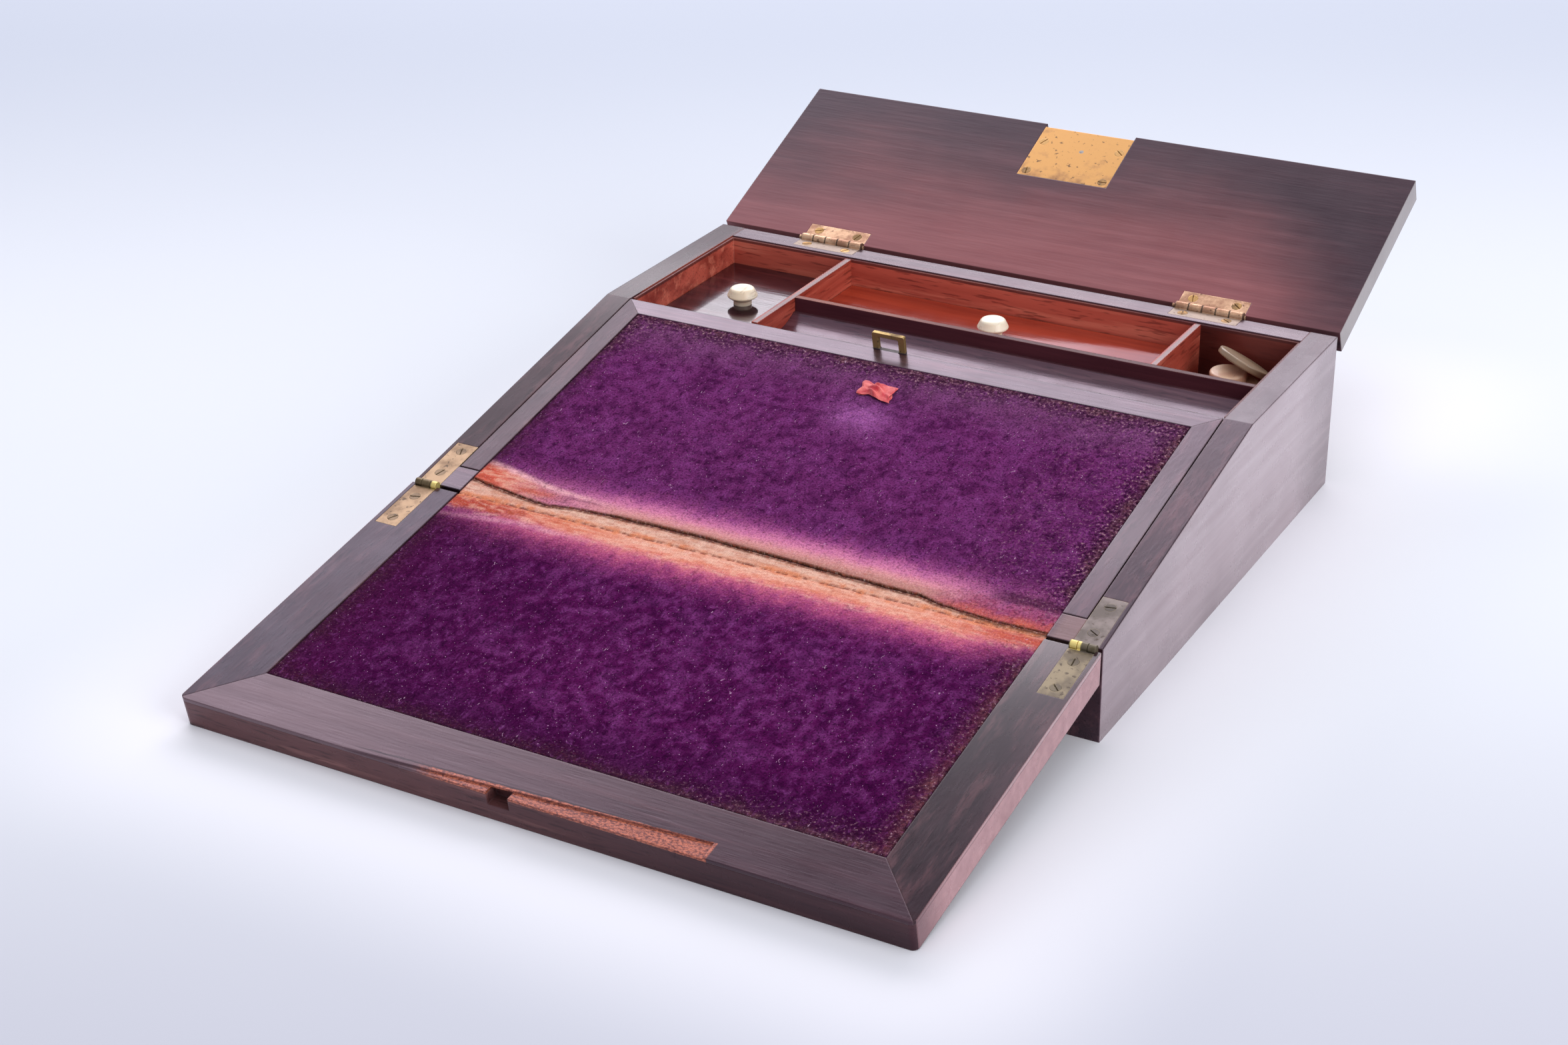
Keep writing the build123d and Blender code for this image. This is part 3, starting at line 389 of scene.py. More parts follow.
def rail_front(b):
    """The front of the case, behind the open flap, is painted nearly black as shade. The rail's right end is
    rubbed tan.
    """
    end = b.x.rise(0.128, 0.134) * b.y.rise(-0.100, -0.110)
    b.lay(end * b.clouds.rise(0.3, 0.5) * 0.6, (136, 104, 92))
    b.lay(b.y.rise(-HALF_L + 0.0003, -HALF_L + 0.0001) * 0.8, (22, 10, 12))


def seam(b):
    """The last of the top band, by the joint with the case, is painted dark as the shadow in the gap there.
    """
    up_slope = (b.y * MM + CASE_L / 2) / math.cos(SLOPE)
    b.lay(up_slope.rise(148.7, 149.3), (14, 8, 12))


def lid_shades(b):
    """Inside the lid the polish is red-brown by the hinges and goes nearly black at the front edge, in soft
    flares; the red-brown, brightest near the middle, is partly painted sheen. The outside is plain, and the
    two ends are pale grey."""
    inside = (b.z * math.cos(LID_TILT) - b.y * math.sin(LID_TILT)).rise(0.0085, 0.0125)
    ends = b.x.rise(0.09, 0.16) * 0.5 + b.x.rise(-0.1, -0.15) * 0.08 + (b.x - 0.02).size() * 0.9
    flares = b.noise(b.stretch(b.here, (0.22, 1.0, 1.0)), 34.0, 4.0, 0.6, 0.4)
    along = (b.y - 0.127) * 10.1 + (b.clouds - 0.5) * 0.5 + (flares - 0.5) * 0.4 + ends
    red = b.mix(0.25, b.mix(b.streaks, (126, 62, 64), (172, 104, 104)), b.colour)
    black = b.mix(0.25, b.mix(b.streaks, (34, 20, 28), (66, 46, 54)), b.colour)
    b.lay(inside, b.mix(along.rise(0.1, 1.0), red, black))
    b.lay(side_faces(b) * 0.85, b.mix(b.clouds, (128, 118, 118), (196, 190, 188)))


def chipped_band_and_light(b):
    """The front arris of the lower flap has lost a long sliver of wood, and the bare wood is orange. It
    ends square at the right and runs out to a crack at the left. x and y are in millimetres, from the left
    side and forwards."""
    left, right, depth = 104.0, 227.0, 265.9
    x, y = b.x * MM + CASE_W / 2, b.y * -MM
    rough = b.noise(b.stretch(b.here, (0.5, 1.0, 1.0)), 420.0, 3.0)
    inner = depth + (rough - 0.5) * 1.0 + (x - right).size() * 0.040
    bare = x.rise(left, left + 14) * x.rise(right + 0.6, right) * (y - inner).rise(0.0, 0.5)
    crack = (y - inner).size().rise(0.6, 0.25) * x.rise(76, 90) * x.rise(right - 1, 180)
    splinters = b.noise(b.stretch(b.here, (0.6, 1.0, 1.0)), 1300.0, 3.0, 0.7)
    # Painted reflection and shade: the band is painted lighter towards the left and near black towards the
    # right.
    b.lay(1 - x.rise(10, 250) * 0.9, (82, 62, 68), (118, 94, 100))
    b.lay(x.rise(150, 300) * 0.8, (16, 6, 10), (64, 28, 38))
    b.lay(crack * 0.85, (22, 12, 12))
    b.lay(bare, b.mix(splinters.rise(0.38, 0.62), (102, 46, 34), (196, 110, 80)))


def outer_woods():
    """The rosewood of the case, the flaps and the lid, with each board's own grain and polish."""
    return {
        rosewood("right side", ALONG_Y, tint=pale_side_tones): ["case_right_side"],
        rosewood("left side", ALONG_Y, tint=pale_side_tones, shine=0.14,
                 polish=(ALONG_Y, -0.03, 0.07, 0.5)): ["case_left_side"],
        rosewood("rails", ALONG_X, tint=rail_front, shine=0.75): ["case_front", "case_back", "tray_bulkhead"],
        rosewood("top band", ALONG_X, tint=seam, shine=0.95, coat=0.2): ["upper_flap_top_band"],
        rosewood("right band", ALONG_Y, shine=0.75, polish=(ALONG_Y, 0.0, -0.09, 0.55)): [
            "upper_flap_right_band"],
        rosewood("left band", ALONG_Y, shine=0.36): ["upper_flap_left_band"],
        rosewood("flap right band", ALONG_Y, tint=flap_edge_tones, shine=0.25,
                 polish=(ALONG_Y, -0.275, -0.16, 1.0)): ["lower_flap_right_band"],
        rosewood("flap left band", ALONG_Y, tint=flap_edge_tones, shine=0.33, gleam=BLUISH): [
            "lower_flap_left_band"],
        rosewood("front band", ALONG_X, tint=chipped_band_and_light, shine=0.44): ["lower_flap_free_band"],
        rosewood("lid", ALONG_X, tint=lid_shades, shine=0.3, figure=0.7, roughness=0.36): ["lid_board"],
        wood("rosewood flap board", ALONG_X, (52, 30, 32), (96, 60, 60), (150, 104, 100),
             worn=RUBBED, tint=flap_edge_tones, shine=0.3): ["lower_flap_board"],
    }


def well_woods():
    """The mahogany inside the case, and the polished covers and tray."""
    red = dict(dark=(142, 52, 40), middle=(196, 92, 74), light=(226, 130, 106))
    dark = dict(dark=(22, 8, 16), middle=(50, 18, 24), light=(92, 40, 42))
    return {
        wood("mahogany lining", ALONG_X, worn=(190, 130, 112), roughness=0.4, figure=1.4,
             tint=dim_cell, **red): ["well_lining"],
        wood("dark divider", ALONG_X, worn=(110, 60, 54), roughness=0.3, tint=divider_faces,
             shine=0.12, **red): ["tray_divider"],
        wood("mahogany partitions", ALONG_Y, worn=(180, 144, 134), figure=1.4, tint=partition_faces,
             shine=0.3, **red): ["left_partition", "right_partition"],
        wood("mahogany boards", ALONG_X, (104, 52, 40), (146, 82, 62), (176, 112, 86),
             roughness=0.5): ["case_bottom", "flap_bearers", "upper_flap_board", "right_cell_floor",
                              "left_cover_ledges", "middle_cover_ledges"],
        wood("polished covers", ALONG_X, worn=(150, 90, 76), roughness=0.16, coat=0.45,
             coat_roughness=0.06, tint=cover_tones, polish=(ALONG_X, -0.01, 0.07, 0.55),
             warp=cover_warp, **dark): ["left_cover", "middle_cover"],
        wood("polished tray", ALONG_X, (50, 26, 32), (82, 50, 58), (116, 82, 88),
             worn=(150, 116, 112), roughness=0.22, shine=0.9, coat=0.25): ["pen_tray"],
    }


# ---------------- metals and bone

def metal(name, bright, dull, spots, roughness=0.38, metallic=0.85, patina=0.5, let_in=False):
    """Rolled metal gone dull: soft patches of tarnish, small dark spots and fine rubbing marks. Where it is
    let in level with the slope it is as dark as the wood."""
    f = Finish(name, roughness=roughness, metallic=metallic)
    place = f.place()
    patches = f.noise(place, 90.0, 4.0, 0.6)
    pits = f.noise(place, 420.0, 3.0, 0.55)
    rubs = f.noise(f.stretch(place, (1.0, 0.08, 0.3)), 900.0, 2.0)
    dullness = patches.rise(0.62 - patina * 0.3, 0.85 - patina * 0.3)
    dark = pits.rise(0.62, 0.7)
    rounded, rim = f.soft_edges(0.0003)
    f.colour = f.mix(dullness, bright, dull)
    f.lay(rubs.rise(0.5, 0.8) * 0.35, bright)
    f.lay(rim * 0.5, bright)
    f.lay(dark * 0.8, spots)
    shine = metallic - dullness * 0.35 - dark * 0.3
    if let_in:
        level = height_on_slope(f.axis(place, 1), f.axis(place, 2)).rise(0.9, 0.2)
        f.lay(level, (74, 62, 62))
        shine = shine * (1 - level)
    f.set("Metallic", shine)
    f.set("Roughness", roughness + dullness * 0.2 + (rubs - 0.5) * 0.12)
    return f.finished(pits + rubs * 0.3, 0.12, 0.0002, rounded)


def flap_hinge_brass(name, dirt):
    """The flap hinges have aged apart: golden on the left, grey on the right and green on the right flap. The
    knuckles are nearly black, with a bright rubbed end. dirt darkens it all. Places are in millimetres."""
    pin_y, left_spot, right_shift = -126.05, 140.5, 2.2
    f = Finish(name, roughness=0.42, metallic=0.7)
    place = f.place()
    x, y = (axis * MM for axis in f.axes(place, 2))
    right = x.rise(-10, 10)
    patches = f.noise(place, 110.0, 4.0, 0.6)
    pits = f.noise(place, 420.0, 3.0, 0.55)
    worn = patches.rise(0.4, 0.65)
    golden = f.mix(worn, (170, 140, 110), (134, 106, 80))
    green = f.mix(worn, (142, 126, 100), (108, 94, 76))
    grey = f.mix(y.rise(-128, -129), f.mix(worn, (134, 120, 116), (100, 88, 82)), green)
    rounded, rim = f.soft_edges(0.0003)
    knuckle = (y - pin_y).size().rise(2.4, 1.9)
    spot = (x.size() - left_spot - right * right_shift).size().rise(2.4, 1.8)
    f.colour = f.mix(right, golden, grey)
    f.lay(rim * 0.4, (226, 200, 152))
    f.lay(pits.rise(0.6, 0.68) * 0.8, (66, 48, 34))
    f.lay(knuckle * 0.75, f.mix(worn, (92, 82, 54), (40, 34, 24)))
    f.lay(knuckle * spot, (240, 216, 132))
    f.lay(dirt, (48, 38, 30))
    f.set("Metallic", 0.75 - right * 0.3 - patches * 0.2)
    f.set("Roughness", 0.36 + patches * 0.2)
    return f.finished(pits, 0.12, 0.0002, rounded)


def lid_hinge_brass():
    """Cast brass with a groove where one knuckle meets the next. The leaves let into the rim of the case are
    grey, like the wood beside them. Places are in millimetres, and each hinge's knuckles are
    counted from its left end."""
    knuckle, left_end, right_end, pin_y, pin_z = 6.3, -109.55, 78.05, 126.0, 69.15
    f = Finish("brass lid hinges", roughness=0.36, metallic=0.75)
    place = f.place()
    x, y, z = (axis * MM for axis in f.axes(place))
    patches, pits = f.noise(place, 130.0, 4.0, 0.6), f.noise(place, 480.0, 3.0, 0.55)
    right = x.rise(-1, 1)
    pitch = ((x - left_end) / knuckle).part() * (1 - right) + ((x - right_end) / knuckle).part() * right
    off_y, off_z = y - pin_y, z - pin_z
    groove = (pitch - 0.5).size().rise(0.38, 0.5) * (off_y * off_y + off_z * off_z).rise(8.4, 7.0)
    rounded, rim = f.soft_edges(0.0003)
    rim_leaf = y.rise(123.6, 123.2) * z.rise(69.6, 69.2)
    f.colour = f.mix(patches.rise(0.35, 0.65), (222, 180, 146), (168, 124, 98))
    f.lay(rim_leaf * 0.85, f.mix(patches, (120, 104, 96), (166, 150, 136)))
    f.lay(groove * 0.9, (66, 40, 30))
    f.lay(rim * 0.4, (250, 222, 186))
    f.lay(pits.rise(0.6, 0.7) * 0.7, (84, 54, 40))
    f.set("Metallic", 0.78 - rim_leaf * 0.4 - groove * 0.5)
    f.set("Roughness", 0.32 + patches * 0.2)
    return f.finished((1 - groove) * 0.8 + pits * 0.3, 0.5, 0.0006, rounded)


def bone(name, light, shade, leaning=None):
    """Turned bone: creamy, with thin brown lines along the grain and dirt in the hollows. A piece that leans
    above the pile has the colour leaning."""
    f = Finish(name, roughness=0.38, coat=0.3, coat_roughness=0.25)
    place = f.place()
    lines = f.noise(f.stretch(place, (1.0, 0.15, 1.0)), 620.0, 3.0, 0.6)
    clouds = f.noise(place, 120.0, 3.0)
    rounded, rim = f.soft_edges(0.0003)
    f.colour = f.mix(clouds.rise(0.35, 0.7) * 0.6, light, shade)
    if leaning:
        x, y, z = f.axes(place)
        side = x * LEANING_NORMAL[0] + y * LEANING_NORMAL[1] + z * LEANING_NORMAL[2] - LEANING_SIDE
        f.lay(side.rise(-0.0001, 0.0001), leaning)
    f.lay(lines.rise(0.58, 0.7) * 0.4, (168, 132, 96))
    f.lay(rim * 0.25, (250, 240, 224))
    f.set("Subsurface Weight", 0.15)
    f.set("Subsurface Radius", (0.004, 0.0025, 0.0015))
    return f.finished(lines + clouds, 0.1, 0.0002, rounded)


def metals_and_bone(brass_colour):
    """Hinges, lock, staple, escutcheon, screws, knobs and counters."""
    brass = metal("brass", brass_colour, (166, 120, 76), (80, 54, 38), patina=0.4)
    old = metal("old brass", (188, 158, 102), (122, 98, 66), (58, 46, 34), roughness=0.45,
                patina=0.7, let_in=True)
    screws = metal("brass screws", (190, 148, 92), (132, 100, 62), (48, 36, 26), patina=0.7)
    steel = metal("steel", (150, 146, 142), (104, 96, 92), (60, 42, 34), metallic=0.9)
    return {
        brass: ["lock_plate", "keyhole_escutcheon"],
        old: ["lock_staple", "staple_pins"],
        lid_hinge_brass(): ["lid_hinge_lid_leaves", "lid_hinge_case_leaves", "lid_hinge_pins"],
        flap_hinge_brass("brass flap hinges", 0.0): ["flap_hinge_case_leaves", "flap_hinge_flap_leaves",
                                                     "flap_hinge_pins"],
        flap_hinge_brass("dull screws", 0.45): ["flap_hinge_case_screws", "flap_hinge_flap_screws"],
        screws: ["lock_plate_screws", "lid_hinge_lid_screws", "lid_hinge_case_screws"],
        steel: ["lock_body", "lock_bolt", "lock_key_pin", "lock_spring"],
        bone("bone knobs", (250, 238, 214), (236, 206, 170)): [
            "left_cover_knob", "middle_cover_knob"],
        bone("bone counters", (232, 196, 166), (196, 140, 118), (150, 126, 102)): [
            "loose_bone_counters"],
    }


# ---------------- velvet

def rise(value, low, high):
    """0 below low and 1 above high, with a smooth rise between. It falls if low is above high."""
    t = np.clip((value - low) / (high - low), 0.0, 1.0)
    return t * t * (3 - 2 * t)


def span(value, low, high, soft):
    """1 between low and high, falling to 0 over soft at each end."""
    return rise(value, low - soft, low + soft) * rise(value, high + soft, high - soft)


def bell(value, width):
    """1 where value is nought, falling to 0 over some widths either way."""
    return np.exp(-(value / width) ** 2)


def line_at(line, x):
    """The s of a line of points x, s at that x."""
    return np.interp(x, line[:, 0], line[:, 1])


def mottle(x, y, seed, cell, octaves=3):
    """Smooth noise between 0 and 1 on a square lattice with cells of that size, halved each octave."""
    total, weight = np.zeros_like(x), 0.0
    for octave in range(octaves):
        table = np.random.default_rng(seed + octave).random((256, 256))
        u, v = x / cell * 2 ** octave + 61.3 * octave, y / cell * 2 ** octave + 17.9 * octave
        i, j = np.floor(u).astype(int), np.floor(v).astype(int)
        a, b = u - i, v - j
        a, b = a * a * (3 - 2 * a), b * b * (3 - 2 * b)
        corner = [table[(i + di) % 256, (j + dj) % 256] for di in (0, 1) for dj in (0, 1)]
        value = (corner[0] * (1 - a) + corner[2] * a) * (1 - b) + (corner[1] * (1 - a) + corner[3] * a) * b
        total += value / 2 ** octave
        weight += 1 / 2 ** octave
    return total / weight


def on_slope(x, s, h):
    """The point h above the slope, s up it from the front of the case, in the row frame in metres."""
    y = s * math.cos(SLOPE) - h * math.sin(SLOPE)
    z = FRONT_H + s * math.sin(SLOPE) + h * math.cos(SLOPE)
    return np.stack([x - CASE_W / 2, y - CASE_L / 2, z], axis=-1) / MM


def on_pile(s):
    """The point of the pile in the middle of the cloth at s."""
    return tuple(on_slope(np.array(CASE_W / 2), np.array(s), np.array(PILE_H)))


def on_flap(x, s, h):
    """The point h above the open lower flap, where s has passed the pins of its hinges."""
    pin = on_slope(x, np.full_like(x, PIN_S), np.full_like(x, PIN_H)) * MM
    d, k = PIN_S - s, h - PIN_H
    y = pin[..., 1] - d * math.cos(FLAP_DROP) - k * math.sin(FLAP_DROP)
    z = pin[..., 2] - d * math.sin(FLAP_DROP) + k * math.cos(FLAP_DROP)
    return np.stack([pin[..., 0], y, z], axis=-1) / MM


def grid_mesh(name, points, cloth):
    """A mesh of squares through a grid of points. Its UV map is the flat cloth, in decimetres."""
    rows, columns = points.shape[:2]
    index = np.arange(rows * columns).reshape(rows, columns)
    faces = np.stack([index[:-1, :-1], index[:-1, 1:], index[1:, 1:], index[1:, :-1]], -1).reshape(-1, 4)
    mesh = bpy.data.meshes.new(name)
    mesh.from_pydata(points.reshape(-1, 3).tolist(), [], faces.tolist())
    mesh.polygons.foreach_set("use_smooth", np.ones(len(faces), bool))
    uv = mesh.uv_layers.new(name="cloth")
    uv.data.foreach_set("uv", cloth.reshape(-1, 2)[faces.ravel()].astype(np.float32).ravel())
    mesh.update()
    piece = bpy.data.objects.new(name, mesh)
    bpy.context.scene.collection.objects.link(piece)
    return piece


class WearAndLight:
    """The colour of the pile at points x, s, how bare it is and how scruffy. Soft layers of worn pile,
    stains, dust and painted shade and highlight are laid on it one by one. broad, small, grain and flame are
    noise, and ragged breaks up the edge of a layer."""

    def __init__(self, x, s, settings):
        self.x, self.s = x, s
        self.broad, self.small = mottle(x, s, 11, 9.0), mottle(x, s, 23, 3.0)
        self.grain, self.flame = mottle(x * 1.6, s, 37, 1.5, 2), mottle(x * 0.45, s * 1.6, 51, 1.9, 3)
        self.ragged = (self.broad - 0.5) * 4 + (self.small - 0.5) * 3.6 + (self.grain - 0.5) * 1.6
        self.past_slit = s - line_at(SLIT, x)
        self.up = (self.past_slit > 0) * 1.0
        faded, deep = settings.faded_velvet[:3], settings.deep_velvet[:3]
        self.colour = np.where(self.up[..., None] > 0, faded, deep).astype(float)
        self.bare, self.scruff = np.zeros_like(x), np.zeros_like(x)

    def lay(self, share, rgb, worn=0.0):
        """Lays a colour over that share of the cloth, which is then as bare as worn."""
        share = np.clip(share, 0, 1)
        self.colour = self.colour * (1 - share[..., None]) + np.array(tone(*rgb)[:3]) * share[..., None]
        self.bare = np.maximum(self.bare, share * worn)

    def above(self, share, rgb, worn=0.0):
        """A layer on the upper piece of velvet only."""
        self.lay(self.up * share, rgb, worn)

    def below(self, share, rgb, worn=0.0):
        """A layer on the lower piece of velvet only."""
        self.lay((1 - self.up) * share, rgb, worn)


def crush_pile(w):
    """Clouds of crushed pile, lighter towards the top, and a pale spot near the ribbon."""
    w.lay(0.22 * rise(w.broad, 0.45, 0.75), (124, 62, 124))
    w.lay(0.32 * rise(w.broad, 0.5, 0.25), (56, 12, 54))
    w.lay(0.55 * rise(w.small, 0.5, 0.75), (124, 56, 118))
    w.lay(0.5 * rise(w.small, 0.48, 0.25), (48, 6, 48))
    w.lay(0.3 * rise(w.s + w.ragged * 3, 104, 132), (134, 92, 122))
    spot = bell(w.x - 153, 13) * bell(w.s - 102, 10)
    w.lay(0.8 * spot * (0.4 + 1.0 * w.small), (172, 98, 172), 0.4)


def wear_above(w):
    """Above the slit: a pink halo round bare tan ground, orange and cream where it is worn through at the
    left, red stains at the right, and a pale rubbed line."""
    x, s, ragged, small, flame = w.x, w.s, w.ragged, w.small, w.flame
    core = span(x, 76, 240, 26)
    left, right = rise(x, 74, 34), rise(x, 226, 248)
    past = s - line_at(BARE_EDGE, x)
    w.above(rise(s + ragged * 1.6, 31, 13) * (0.4 + 0.5 * core), (188, 92, 158), 0.3)
    w.above(rise(s + ragged, 23, 12) * (0.3 + 0.7 * core) * (0.45 + small), (232, 142, 176), 0.75)
    w.above(rise(s + ragged * 0.5, 16, 10.5) * core * 0.85, (226, 158, 152), 1.0)
    w.above(rise(s + ragged * 0.3, 11.8, 8.2) * span(x, 92, 238, 14) * 0.85, (192, 136, 124), 1.0)
    w.above(left * rise(past + ragged * 0.2, 0.6, -1.6), (234, 152, 136), 1.0)
    w.above(left * rise(x + ragged * 2, 44, 28) * rise(past + ragged * 0.5, 0, -4) * 0.85, (222, 92, 62), 0.9)
    w.above(left * rise(past, 0.5, -2) * rise(flame, 0.5, 0.7) * 0.5, (244, 190, 164), 1.0)
    w.above(left * rise(past, 0, -3) * rise(flame, 0.5, 0.3) * 0.6, (184, 70, 50), 0.9)
    w.above(span(x, 44, 62, 8) * span(s + ragged * 0.4, 8, 11.5, 1.5) * 0.7, (206, 100, 74), 0.9)
    w.above(span(x, 66, 84, 5) * bell(s - 11.4 + ragged * 0.15, 0.6) * 0.7, (112, 50, 84), 0.5)
    w.above(right * rise(s + ragged * 1.7, 15, 7) * 0.7, (156, 60, 92), 0.55)
    w.above(right * rise(s + ragged * 1.2, 8.5, 3) * (0.35 + 0.9 * small), (214, 104, 84), 0.9)
    w.above(rise(x + ragged, 248, 264) * rise(s + ragged * 0.6, 11.5, 14) * rise(s, 21, 17) * 0.8,
            (66, 24, 56))
    pale = bell(past + ragged * 0.2, 1.5) * rise(x, 100, 60) * (0.3 + 0.9 * small)
    w.above(pale, (255, 192, 196), 0.8)


def wear_and_ridge_highlight_below(w):
    """Below the slit: pink and orange where the velvet bends over the joint, with stains at both ends, cream
    threads, the dark crease itself and, at the left, a pale line painted as a highlight on a ridge of the
    cloth."""
    x, s, ragged, small, grain, flame = w.x, w.s, w.ragged, w.small, w.grain, w.flame
    w.below(rise(s + ragged * 1.3, -33, -13) * (0.5 + 0.4 * span(x, 50, 268, 26)), (138, 48, 114), 0.45)
    w.below(rise(s + ragged, -24, -11) * span(x, 40, 275, 20) * (0.55 + 0.5 * small), (200, 92, 134), 0.8)
    w.below(rise(s + ragged * 0.9, -16, -9) * span(x, 70, 268, 24) * 0.75, (230, 128, 142), 0.9)
    w.below(rise(s + ragged * 0.8, -13, -6.5) * (0.55 + 0.45 * span(x, 60, 262, 20)), (244, 156, 134), 1.0)
    w.below(rise(s + ragged * 0.7, -8.5, -4.5) * span(x, 84, 236, 34) * 0.9, (250, 188, 164), 1.0)
    w.below(rise(s + ragged * 0.6, -10.5, -7) * rise(x + ragged * 2.5, 62, 36) * 0.92, (188, 72, 48), 0.9)
    w.below(rise(s + ragged * 0.6, -8, -4) * span(x + ragged * 2, 50, 92, 14) * 0.6, (226, 116, 76), 0.9)
    w.below(rise(s + ragged * 0.6, -10, -6) * rise(x + ragged * 2.5, 244, 270) * 0.85, (204, 86, 70), 0.9)
    w.below(span(s, -9, -1.5, 1.5) * rise(x, 92, 58) * rise(flame, 0.52, 0.3) * 0.7, (152, 48, 38), 0.9)
    w.below(span(s, -12, -2, 1.5) * rise(flame, 0.52, 0.72) * 0.35, (255, 208, 184), 1.0)
    w.below(span(s, -9, -1.5, 1.5) * rise(flame, 0.48, 0.3) * 0.4, (222, 112, 76), 1.0)
    w.below(rise(s + ragged * 0.12, -2.2, -0.8), (242, 190, 168), 1.0)
    patchy = 0.25 + 0.75 * rise(small, 0.35, 0.7)
    w.below(span(s + ragged * 0.3, -3, 1.2, 1.2) * patchy, (240, 150, 108), 1.0)
    w.below(rise(s, -0.5, 2.5) * rise(grain, 0.3, 0.75) * 0.6, (196, 146, 126), 1.0)
    w.below(rise(s, -1.5, 1.5) * rise(flame, 0.5, 0.7) * 0.5, (246, 206, 182), 1.0)
    w.below(rise(s, -1.5, 1.5) * rise(flame, 0.48, 0.3) * 0.45, (204, 132, 98), 1.0)
    w.below(rise(w.past_slit, -2.2, -0.4) * small * 0.7, (196, 152, 124), 1.0)
    fold = bell(s - CREASE_S + (small - 0.5) * 1.3, 0.5) * rise(grain, 0.3, 0.58)
    w.below(fold * 0.95, (112, 50, 38), 1.0)
    # A painted highlight on a ridge of the cloth, at the left.
    past = s - line_at(RIDGE_HIGHLIGHT, x)
    w.below(bell(past + ragged * 0.15, 2.6) * rise(x, 120, 60) * 0.45, (196, 96, 150), 0.6)
    w.below(bell(past + ragged * 0.25, 1.4) * rise(x, 108, 60) * (0.1 + 0.75 * small), (244, 172, 192), 0.7)


def slit_shade_and_threads(w):
    """The slit: a painted brown shadow under its lifted upper lip, and a dark brown line along the gap that
    is painted shade broken up by frayed threads.
    """
    w.above(rise(w.past_slit, 3.0, 0.4) * span(w.x, 90, 240, 10) * 0.6, (120, 80, 60), 1.0)
    threads = 0.6 + 0.4 * rise(w.grain, 0.25, 0.5)
    w.lay(rise(np.abs(w.past_slit + 0.3), 1.9, 0.8) * threads * 0.95, (84, 46, 28), 1.0)


def margin_dust_and_shadow(w):
    """The margins along the bands are darker, dusty and scruffy, with a line of painted shadow where the
    cloth meets the bands.
    """
    x, s, ragged, grain = w.x, w.s, w.ragged, w.grain
    down = 1 - w.up
    edge = np.minimum(np.minimum(x - CLOTH_X[0], CLOTH_X[1] - x), np.minimum(CLOTH_TOP - s, s - CLOTH_END))
    away = edge + (w.broad - 0.5) * 7 + (w.small - 0.5) * 5
    clear = rise(np.abs(s - 2), 12, 24)
    dusty = 0.12 + 0.88 * np.maximum(rise(x + s * 0.6, 70, 190), rise(s, 90, 130))
    scruff = rise(away, 17, 1) * (0.35 + 0.65 * clear) * dusty * (1 - 0.45 * down)
    w.scruff = np.clip(scruff + rise(x, 226, 248) * w.up * 0.3, 0, 1)
    w.below(np.maximum(rise(x, 120, 40), rise(s, -96, -122)) * clear * 0.4, (50, 4, 46))
    w.below(rise(away, 34, 4) * clear * 0.5, (54, 6, 50))
    w.below(rise(x + ragged * 3, 66, 24) * clear * 0.2, (96, 28, 70))
    w.lay(rise(away, 12, 1) * clear * 0.7, (46, 14, 40), 0.2)
    w.lay(rise(away, 5, 0.6) * clear * grain * dusty * 0.8, (112, 76, 82), 0.6)
    w.lay(rise(x, 272, 281) * rise(s, -14, -34) * 0.35 * grain, (140, 64, 76), 0.5)
    # Painted shadow where the cloth meets the bands.
    w.lay(rise(edge + (grain - 0.5) * 0.8, 1.3, 0.4) * clear * 0.85, (22, 8, 20))


